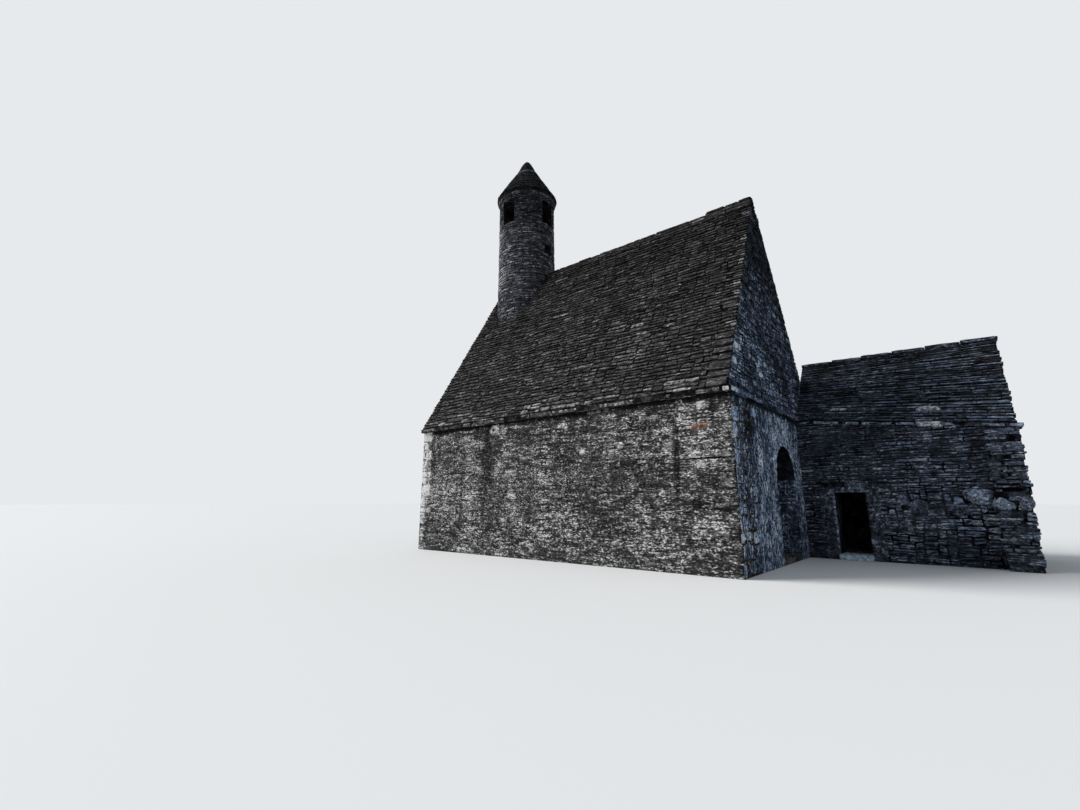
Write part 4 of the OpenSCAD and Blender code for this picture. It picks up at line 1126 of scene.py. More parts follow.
class CHAPEL_OT_nave_walls(bpy.types.Operator):
    """Lays the rubble of the nave's four walls below the eaves"""

    bl_idname = "chapel.nave_walls"
    bl_label = "Lay the nave walls"

    # Shortest and longest, then lowest and highest, of the walls' stones and of the slabs in the patch
    stones = ((0.16, 0.66), (0.07, 0.30))
    thin_slabs = ((0.16, 0.55), (0.04, 0.10))
    shape = {"knocked": 0.45, "wander": 0.16, "spacing": 0.12}

    # Places on the south wall's face, in metres from its west foot
    thin_patch = (6.30, 1.25, 7.85, 3.05)
    patch_margin = 0.05
    red_place = (8.77, 2.79, 9.16, 2.96)
    white_places = ((7.08, 2.68), (6.02, 2.57))
    white_quoins_from = 0.8

    def execute(self, context):
        for side in ("south", "north", "east", "west"):
            self.lay_wall(side)
        return {"FINISHED"}

    def lay_wall(self, side):
        """Lays one wall, around its doorway or arch."""
        s = sizes()
        face, width = wall_face(side)
        pile = StonePile(f"nave_{side}_wall_stones")
        rnd = pile.random
        cuts = self.openings(side, face, width)
        corners = quoins(width, WALL_TOP, rnd)
        south, smooth = side == "south", side == "east"
        proud = s.wall_face * (0.15 if smooth else 0.6)
        joint, bevel = (s.joint * 0.25, 0.002) if smooth else (s.joint * 0.6, 0.005)
        for box in corners:
            pale = rnd.uniform(0.1, 0.55) if rnd.random() < 0.4 else 0.0
            if south and box[0] == 0 and box[1] > self.white_quoins_from:
                pale = rnd.uniform(0.9, 1.4)
            pile.lay(box, face, proud, joint, cuts, pale=pale, bevel=bevel, shape=self.shape)
        taken = corners + ([self.thin_patch, self.red_place] if south else [])
        for stone in lay_rubble(width, WALL_TOP, *self.stones, rnd):
            pile.lay(stone, face, proud, joint, cuts + near_cuts(taken, stone), reach=0.040,
                     pale_share=0.05, shape=self.shape, bevel=bevel, **self.marked(side, stone))
        if south:
            self.lay_patch(pile, face)
            pile.lay(self.red_place, face, s.wall_face * 0.8, s.joint, red=1.3, pale=0.0, tone=0.5,
                     shape=self.shape)
        pile.build("east_wall_stone" if smooth else "south_wall_stone")

    def openings(self, side, face, width):
        """The cutters of a wall's outline and openings."""
        if side == "east":
            edges = (SAC_SOUTH + 0.02, ARCH_SOUTH, ARCH_NORTH)
            end, left, right = (face.inside(HALF_LENGTH, y, 0)[0] for y in edges)
            spring = face.inside(HALF_LENGTH, ARCH_MIDDLE, ARCH_SPRING)
            outline = within((0, 0), (end, 0), (end, WALL_TOP), (BATTER, WALL_TOP))
            return [outline, beside_circle(*spring, ARCH_OUTER), beside_box(left, -1, right, ARCH_SPRING)]
        cuts = [within((0, 0), (width, 0), (width - BATTER, WALL_TOP), (BATTER, WALL_TOP))]
        if side == "west":
            centre = width / 2
            cuts += [beside_box(centre - WEST_DOOR_HALF, -1, centre + WEST_DOOR_HALF, LINTEL_BASE),
                     beside_box(centre - LINTEL_HALF, LINTEL_BASE, centre + LINTEL_HALF, LINTEL_TOP)]
        return cuts

    def marked(self, side, stone):
        """What is special about a stone of the south wall: the white ones."""
        u0, v0, u1, v1 = stone
        white = side == "south" and any(u0 < u < u1 and v0 < v < v1 for u, v in self.white_places)
        return {"pale": 1.0} if white else {}

    def lay_patch(self, pile, face):
        """Lays the patch of thin slabs in the south wall."""
        s = sizes()
        u0, v0, u1, v1 = self.thin_patch
        wide, tall = u1 - u0 + 2 * self.patch_margin, v1 - v0 + 2 * self.patch_margin
        left, foot = u0 - self.patch_margin, v0 - self.patch_margin
        for a, b, c, d in lay_rubble(wide, tall, *self.thin_slabs, pile.random, snap=0.012):
            stone = (a + left, b + foot, c + left, d + foot)
            pile.lay(stone, face, s.wall_face * 1.1, s.joint * 0.7, [rectangle(*self.thin_patch)], reach=0.03,
                     pale_share=0.05, shape=self.shape, bevel=0.006, **self.marked("south", stone))


class CHAPEL_OT_chancel_arch(bpy.types.Operator):
    """Lays the wedge stones of the chancel arch and the stones that line its sides"""

    bl_idname = "chapel.chancel_arch"
    bl_label = "Lay the chancel arch"

    wedges = (0.11, 0.22)
    lining = ((0.2, 0.5), (0.08, 0.24))

    def execute(self, context):
        s = sizes()
        ring = ArchFace(wall_face("east")[0])
        pile = StonePile("chancel_arch_ring_stones")
        thickness = ARCH_OUTER - ARCH_INNER
        for stone in lay_courses(ring.around, thickness, self.wedges, thickness, pile.random):
            pile.lay(stone, ring, s.wall_face * 1.4, s.joint * 0.8, pale_share=0.2, shape={"knocked": 0.12})
        pile.build("east_wall_stone")
        depth, height = WALL_FOOT_X - INNER_X - BATTER, ARCH_SPRING - FLOOR_TOP
        region = [rectangle(0, 0, depth, height)]
        sides = {"north": FlatFace((INNER_X, ARCH_NORTH, FLOOR_TOP), (1, 0, 0), (0, 0, 1)),
                 "south": FlatFace((HALF_LENGTH, ARCH_SOUTH, FLOOR_TOP), (-1, 0, 0), (0, 0, 1))}
        for side, face in sides.items():
            pile = StonePile(f"chancel_arch_{side}_side_stones")
            for stone in lay_rubble(depth, height, *self.lining, pile.random):
                pile.lay(stone, face, s.wall_face * 0.4, s.joint * 0.5, region, bed=0.03, pale=0.0,
                         tone=pile.random.uniform(0.35, 0.65), bevel=0.005)
            # The arch's side stones take painted shade, darkest towards the top
            pile.build("reveal_shaded_stone")
        return {"FINISHED"}


class CHAPEL_OT_eaves_courses(bpy.types.Operator):
    """Lays the slabs of the projecting course at the wall head"""

    bl_idname = "chapel.eaves_courses"
    bl_label = "Lay the eaves and gable courses"

    slabs = (0.28, 0.95)
    depth = 0.16

    def execute(self, context):
        for side in ("south", "north", "east", "west"):
            self.lay_course(side)
        return {"FINISHED"}

    def lay_course(self, side):
        """Lays the slabs of one side, their fronts uneven."""
        pile = StonePile(f"{side}_course_slabs")
        rnd = pile.random
        turned = side in ("east", "west")
        front, end = (EAVES_END, EAVES_OUT) if turned else (EAVES_OUT, EAVES_END)
        stop = SAC_SOUTH - 0.06 if side == "east" else end
        sign = 1 if side in ("north", "east") else -1
        for at, to in cut_row(-end, stop, self.slabs, rnd):
            a, b = sorted((sign * (front - self.depth), sign * (front + rnd.uniform(0.002, 0.020))))
            box = (a, at, b, to) if turned else (at, a, to, b)
            outline = rough_outline(box, 0.008, rnd, knocked=0.3, wander=0.05, spacing=0.25)
            base, top = WALL_TOP + rnd.uniform(-0.010, 0.004), ROOF_BASE + rnd.uniform(-0.010, 0.006)
            share = 0.40 if at > 1 or turned else 0.22
            at_corner = side == "south" and to > end - 0.01
            pale = rnd.uniform(0.3, 1.0) if rnd.random() < share else 0.0
            pile.slab(outline, flat, base, top, bevel=0.012, pale=1.8 if at_corner else pale)
        # On the east side the course takes a dark finish, a painted shadow line
        pile.build("east_course_shaded_stone" if side == "east" else "eaves_stone")


class CHAPEL_OT_gables(bpy.types.Operator):
    """Lays the rubble of the two leaning gables"""

    bl_idname = "chapel.gables"
    bl_label = "Lay the gables"

    stones = ((0.14, 0.52), (0.055, 0.19))
    verge_stones = ((0.18, 0.48), (0.07, 0.17))
    top_half = 0.03
    # Where the sacristy's roof leaves the east gable's edge: y and height
    valley_end = (2.73, 4.75)

    def execute(self, context):
        for side in ("east", "west"):
            self.lay_gable(side)
        return {"FINISHED"}

    def lay_gable(self, side):
        """Lays one gable, from its two verges inwards, and the stone at its top."""
        s = sizes()
        width, top = 2 * SLOPE_FOOT, SLOPE_RISE + 0.26
        face = gable_face(side)
        pile = StonePile(f"nave_{side}_gable_stones")
        rnd = pile.random
        foot = [(-self.top_half, 0), (width + self.top_half, 0)]
        head = [(SLOPE_FOOT + self.top_half, top), (SLOPE_FOOT - self.top_half, top)]
        if side == "east":
            seam = face.inside(HALF_LENGTH, SAC_SOUTH - 0.05, 0)[0]
            foot[1:] = [(seam, 0), face.inside(HALF_LENGTH, *self.valley_end)]
        region = within(*foot, *head)
        verge = self.verge(width, top, rnd)
        for box in verge:
            pale = rnd.uniform(0.5, 1.3) if rnd.random() < (0.34 if side == "east" else 0.10) else 0.0
            pile.lay(box, face, s.wall_face * 1.8, s.joint * 1.3, [region], pale=pale, bevel=0.008)
        for stone in lay_rubble(width, top, *self.stones, rnd):
            cuts = [region, *near_cuts(verge, stone)]
            pile.lay(stone, face, s.wall_face * 2.2, s.joint * 1.9, cuts, reach=0.018, pale_share=0.24,
                     vary=(0.3, 1.6), tone=min(1.0, max(0.0, rnd.gauss(0.48, 0.34))))
        apex = (SLOPE_FOOT - 0.10, top - 0.02, SLOPE_FOOT + 0.10, RIDGE_END - ROOF_BASE - 0.01)
        pile.lay(apex, face, s.wall_face, s.joint)
        pile.build("gable_stone" if side == "east" else "west_gable_stone")

    def verge(self, width, top, rnd):
        """The corners of the stones up both edges of a gable, as far as they leave a middle."""
        boxes = []
        lengths, rises = self.verge_stones
        for at_left in (True, False):
            base = 0.0
            while base < top - 0.7:
                rise, edge = rnd.uniform(*rises), base * SLOPE_RUN / SLOPE_RISE
                u0, u1 = edge - 0.1, edge + rnd.uniform(*lengths)
                boxes.append((u0, base, u1, base + rise) if at_left
                             else (width - u1, base, width - u0, base + rise))
                base += rise
        return boxes


class CHAPEL_OT_nave_roof(bpy.types.Operator):
    """Lays the slabs of the two nave roof slopes, up to the ridge"""

    bl_idname = "chapel.nave_roof"
    bl_label = "Lay the nave roof"

    slabs = ((0.14, 0.60), (0.085, 0.175))
    shape = {"knocked": 0.34, "wander": 0.16, "spacing": 0.13, "ends": 0.2}
    gap = 0.006
    bevel = 0.006
    # How far the slabs stand out over the gables
    over_gable = 0.015
    # Length and height of the slabs over the ridge stones' side, and how high they reach
    ridge_slabs = ((0.22, 0.62), 0.14)
    ridge_side = 0.27
    cap_half = 0.105

    def execute(self, context):
        for side in ("south", "north"):
            self.lay_slope(side)
        self.lay_caps()
        return {"FINISHED"}

    def lay_slope(self, side):
        """Lays one slope: its verges, its slabs and the slabs over the ridge stones' side."""
        width, length, over = 2 * HALF_LENGTH, SLOPE_LENGTH, self.over_gable
        inset = GABLE_LEAN * SLOPE_RISE
        face = roof_face(side)
        pile = StonePile(f"nave_roof_{side}_slabs")
        rnd = pile.random
        region = within((-over, -0.01), (width + over, -0.01), (width - inset + over, length),
                        (inset - over, length))
        cuts = [region, beside_shaft(face, SHAFT_R + SHAFT_TAPER + 0.01)]
        verge = self.verge(width, length, inset, side, rnd)
        for box in verge:
            at_east = (box[0] > width / 2) == (side == "south")
            short = box[2] - box[0] < 0.24
            pale = rnd.uniform(0.8, 1.6) if at_east and short and rnd.random() < 0.75 else 0.0
            self.lay(pile, box, face, cuts, pale=pale)
        for stone in lay_rubble(width, length, *self.slabs, rnd, snap=0.035):
            low_down = stone[1] < 0.30
            self.lay(pile, stone, face, cuts + near_cuts(verge, stone), reach=0.024,
                     pale=rnd.uniform(0.5, 1.4) if rnd.random() < (0.30 if low_down else 0.02) else 0.0)
        self.lay_ridge_side(pile, face)
        pile.build("roof_slab")

    def lay(self, pile, box, face, cuts, **how):
        """Lays one slab of the slope, its foot leaning out."""
        s = sizes()
        pile.lay(box, face, s.roof_face, self.gap, cuts, vary=(0.9, 1.2), crown=0, shape=self.shape,
                 lean=s.roof_lip * pile.random.uniform(0.7, 1.5), bevel=self.bevel, **how)

    def verge(self, width, length, inset, side, rnd):
        """The corners of the slabs up both edges of a slope, with larger ones at the east foot."""
        boxes = []
        for at_left in (True, False):
            base = 0.0
            while base < length - TINY:
                large = base < 1.5 and at_left == (side == "north")
                top = base + (rnd.uniform(0.13, 0.26) if large else rnd.uniform(0.07, 0.15))
                if length - top < 0.1:
                    top = length
                edge = base * inset / length - 0.02 + rnd.uniform(-0.012, 0.03)
                back = edge + (rnd.uniform(0.25, 0.60) if large else rnd.uniform(0.10, 0.42))
                boxes.append((edge, base, back, top) if at_left else (width - back, base, width - edge, top))
                base = top
        return boxes

    def lay_ridge_side(self, pile, face):
        """Carries the slope's slabs over the side of the ridge stones, from the belfry to the raised end."""
        rnd = pile.random
        lengths, course = self.ridge_slabs
        parts = ((BELFRY_X + SHAFT_R + 0.05, RIDGE_END_X, 0.0),
                 (RIDGE_END_X, GABLE_TOP_X + 0.01, RIDGE_END_RISE))
        for x0, x1, rise in parts:
            u0, u1 = sorted((face.inside(x0, 0, 0)[0], face.inside(x1, 0, 0)[0]))
            for a, b, c, d in lay_courses(u1 - u0, self.ridge_side + rise, lengths, course, rnd):
                box = (a + u0, b + SLOPE_LENGTH - 0.01, c + u0, d + SLOPE_LENGTH - 0.01)
                pile.lay(box, face, 0.062 + rise * 0.3, self.gap, lean=0.02, crown=0, bevel=self.bevel,
                         vary=(0.9, 1.15), shape=self.shape)

    def lay_caps(self):
        """Lays the thin flat stones along the top of the ridge."""
        pile = StonePile("nave_ridge_caps")
        rnd = pile.random
        start = BELFRY_X + SHAFT_R + 0.04
        rows = [(*ends, RIDGE_TOP) for ends in cut_row(start, RIDGE_END_X, (0.25, 0.75), rnd)]
        rows += [(*ends, RIDGE_END) for ends in cut_row(RIDGE_END_X, GABLE_TOP_X + 0.012, (0.3, 0.7), rnd)]
        for at, to, level in rows:
            top = level + rnd.uniform(-0.012, 0.014)
            outline = rough_outline((at, -self.cap_half, to, self.cap_half), self.gap, rnd, knocked=0.25,
                                    wander=0.08, spacing=0.2)
            pile.slab(outline, flat, top - rnd.uniform(0.045, 0.075), top, bevel=0.012)
        pile.build("roof_slab")


class CHAPEL_OT_belfry(bpy.types.Operator):
    """Lays the courses of the belfry's shaft, head and cornice"""

    bl_idname = "chapel.belfry"
    bl_label = "Lay the belfry"

    shape = {"knocked": 0.30, "wander": 0.14, "spacing": 0.12, "ends": 0.6}

    def execute(self, context):
        pile = StonePile("belfry_stones")
        self.lay_shaft(pile)
        self.lay_head(pile)
        pile.build("belfry_rubble")
        # The splay under the cornice takes painted shade
        pile = StonePile("belfry_splay_stones")
        splay = RoundFace(CORNICE_BASE, SHAFT_R, (CORNICE_R - SHAFT_R) / CORNICE_SPLAY)
        self.lay_rings(pile, splay, CORNICE_SPLAY, CORNICE_SPLAY, (0.22, 0.50), pale_share=0.0)
        pile.build("soffit_shaded_stone")
        # The cornice rim takes a painted shadow line
        pile = StonePile("belfry_cornice_stones")
        rim = RoundFace(CORNICE_BASE + CORNICE_SPLAY, CORNICE_R)
        self.lay_rings(pile, rim, CAP_BASE - CORNICE_BASE - CORNICE_SPLAY, 0.13, (0.25, 0.55), pale_share=0.0)
        pile.build("rim_shadow_stone")
        return {"FINISHED"}

    def lay_shaft(self, pile):
        """Lays the shaft's courses where they show above the roof."""
        rise = BELL_SILL - SHAFT_FOOT
        shaft = RoundFace(SHAFT_FOOT, SHAFT_R + SHAFT_TAPER, -SHAFT_TAPER / rise)
        sill, head = WINDOW_SILL - SHAFT_FOOT, WINDOW_HEAD - SHAFT_FOOT
        window = [beside_box(u - WINDOW_HALF, sill, u + WINDOW_HALF, head) for u in (0, shaft.around)]

        def shows(stone):
            top = shaft((stone[0] + stone[2]) / 2, stone[3], 0)
            roof = ROOF_BASE + (SLOPE_FOOT - abs(top.y)) * SLOPE_RISE / SLOPE_RUN
            return top.z > min(roof, RIDGE_SEAT) - 0.12

        self.lay_rings(pile, shaft, rise, 0.085, (0.12, 0.48), window, shows)

    def lay_head(self, pile):
        """Lays the head's courses between and over the four bell openings."""
        head = RoundFace(BELL_SILL, SHAFT_R)
        middles = [head.around * k / 4 for k in range(5)]
        bells = [beside_box(u - BELL_HALF, -0.01, u + BELL_HALF, BELL_HEAD - BELL_SILL) for u in middles]
        self.lay_rings(pile, head, CORNICE_BASE - BELL_SILL, 0.095, (0.14, 0.50), bells)

    def lay_rings(self, pile, place, rise, course, length, cuts=(), shows=lambda stone: True,
                  pale_share=0.10):
        """Lays courses all round, around the openings."""
        s = sizes()
        for stone in lay_courses(place.around, rise, length, course, pile.random, uneven=0.45):
            if shows(stone):
                pile.lay(stone, place, s.wall_face * 1.5, s.joint * 0.8, cuts, crown=0, pale_share=pale_share,
                         shape=self.shape)


class CHAPEL_OT_belfry_cap(bpy.types.Operator):
    """Lays the overhanging courses of the belfry's conical cap"""

    bl_idname = "chapel.belfry_cap"
    bl_label = "Lay the belfry's cap"

    courses = 11
    step = 0.014
    slabs = (0.16, 0.46)
    shape = {"knocked": 0.2, "wander": 0.09}

    def execute(self, context):
        pile = StonePile("belfry_cap_slabs")
        course = (TIP_BASE - CAP_BASE) / self.courses
        slope = (TIP_R - CAP_R) / (TIP_BASE - CAP_BASE)
        for k in range(self.courses):
            place = RoundFace(CAP_BASE + k * course, CAP_R - self.step + slope * k * course, slope)
            pale_share = 0.95 if k == self.courses - 2 else 0.04
            for stone in lay_courses(place.around, course, self.slabs, course, pile.random):
                pile.lay(stone, place, 0.020, 0.007, lean=0.018, crown=0, bevel=0.007, pale_share=pale_share,
                         shape=self.shape)
        pile.build("cap_stone")
        return {"FINISHED"}


class CHAPEL_OT_sacristy_walls(bpy.types.Operator):
    """Lays the thin courses of the sacristy's walls and gables"""

    bl_idname = "chapel.sacristy_walls"
    bl_label = "Lay the sacristy's walls"

    # Boulders in the south wall: west, foot, east and top in the building's metres, how far they stand out,
    # how many degrees they are turned, and how light they are
    boulders = ((8.04, 1.36, 8.54, 1.66, 0.10, -6, 0.80), (8.48, 1.20, 8.86, 1.47, 0.30, -38, 0.95),
                (6.79, 1.31, 7.01, 1.55, 0.04, 5, 0.45), (7.06, 1.13, 7.36, 1.44, 0.05, 0, 0.25),
                (6.78, 0.68, 7.05, 0.94, 0.05, 0, 0.20), (7.75, 1.10, 8.10, 1.34, 0.05, 0, 0.15),
                (8.90, 1.22, 9.13, 1.51, 0.29, 0, 0.30))
    # Length and height of the thin slabs, and below a height the south wall's rounder stones
    slabs = ((0.14, 0.80), 0.072)
    rubble_top = 1.75
    rubble = ((0.11, 0.48), (0.04, 0.20))
    shape = {"knocked": 0.45, "wander": 0.20, "spacing": 0.12, "ends": 0.15}
    rubble_shape = {"knocked": 0.48, "wander": 0.20, "spacing": 0.10, "ends": 0.5}
    top_half = 0.03
    # Where the nave's wall head and its gable's edge meet the west face: height, and place from the north
    nave_head = 3.62
    nave_edge = (2.85, 4.76)

    def execute(self, context):
        self.lay_south()
        length, span, centre = SAC_EAST - SAC_WEST, SAC_NORTH - SAC_SOUTH, SAC_NORTH - SAC_MIDDLE
        east_head, west_head = sacristy_eaves(SAC_EAST), sacristy_eaves(SAC_WEST)
        top = [(centre + self.top_half, SAC_SEAT - 0.02), (centre - self.top_half, SAC_SEAT - 0.02)]
        north = FlatFace((SAC_EAST, SAC_NORTH, 0), (-1, 0, 0), (0, 0, 1))
        self.lay_face("north", north, [(0, 0), (length, 0), (length, west_head), (0, east_head)])
        east = FlatFace((SAC_EAST, SAC_SOUTH, 0), (0, 1, 0), (0, 0, 1))
        shoulder = east_head + SAC_SLAB
        self.lay_face("east", east, [(0, 0), (span, 0), (span, shoulder), *top, (0, shoulder)])
        west = FlatFace((SAC_WEST, SAC_NORTH, 0), (0, -1, 0), (0, 0, 1))
        shoulder, shown = west_head + SAC_SLAB, SAC_NORTH - HALF_WIDTH + 0.02
        self.lay_face("west", west, [(0, 0), (shown, 0), (shown, self.nave_head), self.nave_edge, *top,
                                     (0, shoulder)])
        return {"FINISHED"}

    def lay_south(self):
        """Lays the south wall around its doorway and its boulders."""
        start = HALF_LENGTH - 0.02
        length = SAC_EAST - start
        door = (DOOR_JAMB_WEST - start, -1, DOOR_JAMB_EAST - start, DOOR_LINTEL_TOP)
        places = [(x0 - start, z0, x1 - start, z1) for x0, z0, x1, z1, *_ in self.boulders]
        south = FlatFace((start, SAC_SOUTH, 0), (1, 0, 0), (0, 0, 1))
        region = [(0, 0), (length, 0), (length, sacristy_eaves(SAC_EAST)), (0, sacristy_eaves(start))]
        self.lay_face("south", south, region, [door, *places])
        pile = StonePile("sacristy_boulders")
        for corners, (*_, bulge, tilt, tone) in zip(places, self.boulders):
            pile.boulder(corners, south, bulge, tilt, tone=tone)
        pile.build("boulder_stone", ROUNDED)

    def lay_face(self, side, face, region, taken=()):
        """Lays one wall inside its outline, around what other stones take."""
        s = sizes()
        pile = StonePile(f"sacristy_{side}_wall_stones")
        rnd = pile.random
        _, _, width, height = box_of(region)
        split = self.rubble_top if side == "south" else 0.0
        above = [within(*region), rectangle(0, split, width, height)]
        for stone in lay_courses(width, height, *self.slabs, rnd, uneven=0.5):
            if stone[3] > split:
                pile.lay(stone, face, s.wall_face * 1.9, s.joint * 1.2, above + near_cuts(taken, stone),
                         reach=0.018, crown=0, pale_share=0.06, shape=self.shape, bevel=0.012)
        if split:
            below = [within(*region), rectangle(0, 0, width, split)]
            for stone in lay_rubble(width, split + 0.1, *self.rubble, rnd, snap=0.02):
                pile.lay(stone, face, s.wall_face * 2.2, s.joint * 1.1, below + near_cuts(taken, stone),
                         reach=0.032, crown=0.4, pale_share=0.05, shape=self.rubble_shape, bevel=0.018)
        pile.build("sacristy_rubble" if side == "south" else "far_rubble")


class CHAPEL_OT_sacristy_roof(bpy.types.Operator):
    """Lays the slabs of the sacristy's roof, its eaves and its ridge"""

    bl_idname = "chapel.sacristy_roof"
    bl_label = "Lay the sacristy's roof"

    slabs = ((0.20, 0.85), 0.09)
    shape = {"knocked": 0.40, "wander": 0.18, "spacing": 0.14, "ends": 0.15}
    # Rounded lumps on the south slope: west end, length, distance up the slope, height and how far out
    lumps = ((7.42, 0.46, 0.34, 0.13, 0.10), (5.62, 0.34, 0.40, 0.11, 0.05))
    # West and east end of the one pale slab at the eaves
    pale_slab = (7.37, 7.88)
    eaves_slabs = (0.35, 1.0)
    eaves_depth = 0.21
    ridge_count = 6
    ridge_fall = 0.030

    def execute(self, context):
        self.lay_slope("south")
        self.lay_slope("north")
        self.lay_eaves()
        self.lay_ridge()
        return {"FINISHED"}

    def lay_slope(self, side):
        """Lays one slope, which twists a little as the eaves fall to the east."""
        sign = -1 if side == "south" else 1
        y_foot, y_head = SAC_MIDDLE + sign * (SAC_ROOF_OUT - 0.026), SAC_MIDDLE + sign * 0.03
        ends = [SAC_WEST, SAC_EAST + 0.015]
        if side == "north":
            ends.reverse()
        feet = [(x, y_foot, sacristy_eaves(x) + SAC_SLAB) for x in ends]
        face = RuledFace(*feet, *[(x, y_head, SAC_SEAT) for x in ends])
        pile = StonePile(f"sacristy_roof_{side}_slabs")
        rnd = pile.random
        region = [rectangle(-0.06, 0, face.width + 0.06, face.height)]
        for a, b, c, d in lay_courses(face.width, face.height, *self.slabs, rnd):
            if a < 0.01 and side == "north":
                a -= rnd.uniform(-0.03, 0.045)
            if c > face.width - 0.01 and side == "south":
                c += rnd.uniform(-0.03, 0.045)
            lean = 0.034 * rnd.uniform(0.5, 1.8)
            pile.lay((a, b, c, d), face, 0.040, 0.009, region, reach=0.018, lean=lean, crown=0,
                     vary=(0.85, 1.45), pale_share=0.02, bevel=0.008, shape=self.shape)
        pile.build("sacristy_rubble" if side == "south" else "far_rubble")
        if side == "south":
            self.lay_lumps(face, rnd)

    def lay_lumps(self, face, rnd):
        """Lays the rounded lumps on the south slope and the pale slab at its eaves."""

        def over_slabs(u, v, w):
            return face(u, v, w + 0.03)

        pile = StonePile("sacristy_roof_lumps")
        for x, long, v, high_up, bulge in self.lumps:
            u = x - SAC_WEST
            pile.boulder((u, v, u + long, v + high_up), over_slabs, bulge, tone=0.8)
        (west, east), south = self.pale_slab, low("sacristy_eaves_slabs", Y) - 0.03
        outline = rough_outline((west, south, east, south + 0.2), 0.0, rnd, knocked=0.4)
        pile.slab(outline, self.on_wall_head, -0.03, SAC_SLAB + 0.045, bevel=0.03, tone=0.9)
        pile.build("lump_stone", ROUNDED)

    def lay_eaves(self):
        """Lays the thin slabs at the wall head, which stand out of the walls."""
        pile = StonePile("sacristy_eaves_stones")
        rnd = pile.random
        south, north = low("sacristy_eaves_slabs", Y) - 0.012, high("sacristy_eaves_slabs", Y) + 0.012
        rows = ((south, south + self.eaves_depth, HALF_LENGTH, high("sacristy_eaves_slabs", X)),
                (north - self.eaves_depth, north, SAC_WEST, SAC_EAST + 0.06))
        for y0, y1, start, stop in rows:
            for at, to in cut_row(start, stop, self.eaves_slabs, rnd):
                outline = rough_outline((at, y0, to, y1), 0.008, rnd, knocked=0.3, spacing=0.25)
                lift = rnd.uniform(-0.008, 0.008)
                pile.slab(outline, self.on_wall_head, lift - 0.004, lift + SAC_SLAB + 0.006, bevel=0.012,
                          tone=rnd.uniform(0.3, 0.8), pale=rnd.uniform(0.2, 0.7))
        pile.build("boulder_stone")

    def on_wall_head(self, u, v, w):
        """A slab on the falling wall head: w is the height above it."""
        return Vector((u, v, sacristy_eaves(u) + w))

    def lay_ridge(self):
        """Lays the long ridge slabs, each a little lower at its east end."""
        pile = StonePile("sacristy_ridge_stones")
        rnd = pile.random
        side = high("sacristy_ridge_slabs", Y) + 0.02 - SAC_MIDDLE
        pitch = (high("sacristy_ridge_slabs", X) - HALF_LENGTH) / self.ridge_count
        for k in range(self.ridge_count):
            x0 = HALF_LENGTH + k * pitch + 0.012 if k else SAC_WEST
            x1 = HALF_LENGTH + (k + 1) * pitch - 0.004
            outline = rough_outline((x0, SAC_MIDDLE - side, x1, SAC_MIDDLE + side), 0.0, rnd, knocked=0.25,
                                    wander=0.07, spacing=0.16)

            def falling(u, v, w, x0=x0, x1=x1):
                return Vector((u, v, SAC_SEAT + w - self.ridge_fall * (u - x0) / (x1 - x0)))

            pile.slab(outline, falling, 0.005, SAC_RIDGE - SAC_SEAT + 0.008, bevel=0.016)
        pile.build("sacristy_rubble")


class CHAPEL_OT_broken_wall(bpy.types.Operator):
    """Lays the torn slabs of the broken chancel wall"""

    bl_idname = "chapel.broken_wall"
    bl_label = "Lay the broken wall"

    slabs = (0.16, 0.50)
    rises = (0.045, 0.10)
    # The heights between which the courses are thick, and how thick they are there
    thick_zone = (0.95, 1.65)
    thick_rises = (0.12, 0.26)

    def execute(self, context):
        name = "broken_chancel_wall"
        solid = BVHTree.FromObject(frame["nodes"][name], context.evaluated_depsgraph_get())
        west, east, south, top = low(name, X), high(name, X), low(name, Y), high(name, Z)
        pile = StonePile("broken_wall_slabs")
        rnd = pile.random
        base = 0.0
        while base < top - 0.02:
            thick = self.thick_zone[0] < base < self.thick_zone[1]
            head = min(base + rnd.uniform(*(self.thick_rises if thick else self.rises)), top + 0.01)
            level = min((base + head) / 2, top - 0.01)
            start = self.meet(solid, (west - 1, SAC_SOUTH - 0.02, level), (1, 0, 0), X, west + 0.05)
            stop = self.meet(solid, (east + 1, SAC_SOUTH - 0.05, level), (-1, 0, 0), X, east - 0.03)
            front = self.meet(solid, ((start + stop) / 2, south - 1, level), (0, 1, 0), Y, SAC_SOUTH - 0.1)
            self.lay_course(pile, start - 0.02, stop + rnd.uniform(0.0, 0.05), front, base, head)
            base = head
        pile.build("sacristy_rubble")
        return {"FINISHED"}

    def lay_course(self, pile, start, stop, front, base, head):
        """Lays one course of slabs, ragged in front, and its bonding stone in the sacristy's corner."""
        rnd = pile.random
        bevel = 0.010 if head - base < 0.11 else 0.035
        foot, top = base + 0.004, head - 0.003
        for at, to in cut_row(start, stop, self.slabs, rnd):
            outline = rough_outline((at, front - rnd.uniform(0.0, 0.05), to, SAC_SOUTH + 0.05), 0.010, rnd,
                                    knocked=0.28, wander=0.06, spacing=0.16)
            pile.slab(outline, flat, foot, top, bevel=bevel, tone=rnd.uniform(0.3, 0.95),
                      pale=0.35 if rnd.random() < 0.10 else 0.0)
        east, north = SAC_EAST + rnd.uniform(0.01, 0.035), SAC_SOUTH + rnd.uniform(0.2, 0.5)
        bond = rough_outline((stop - 0.30, SAC_SOUTH - 0.02, east, north), 0.008, rnd)
        pile.slab(bond, flat, foot, top, bevel=0.010)

    def meet(self, solid, start, direction, axis, otherwise):
        """Where a straight line first meets a solid, along one axis."""
        place = solid.ray_cast(Vector(start), Vector(direction))[0]
        return place[axis] if place else otherwise


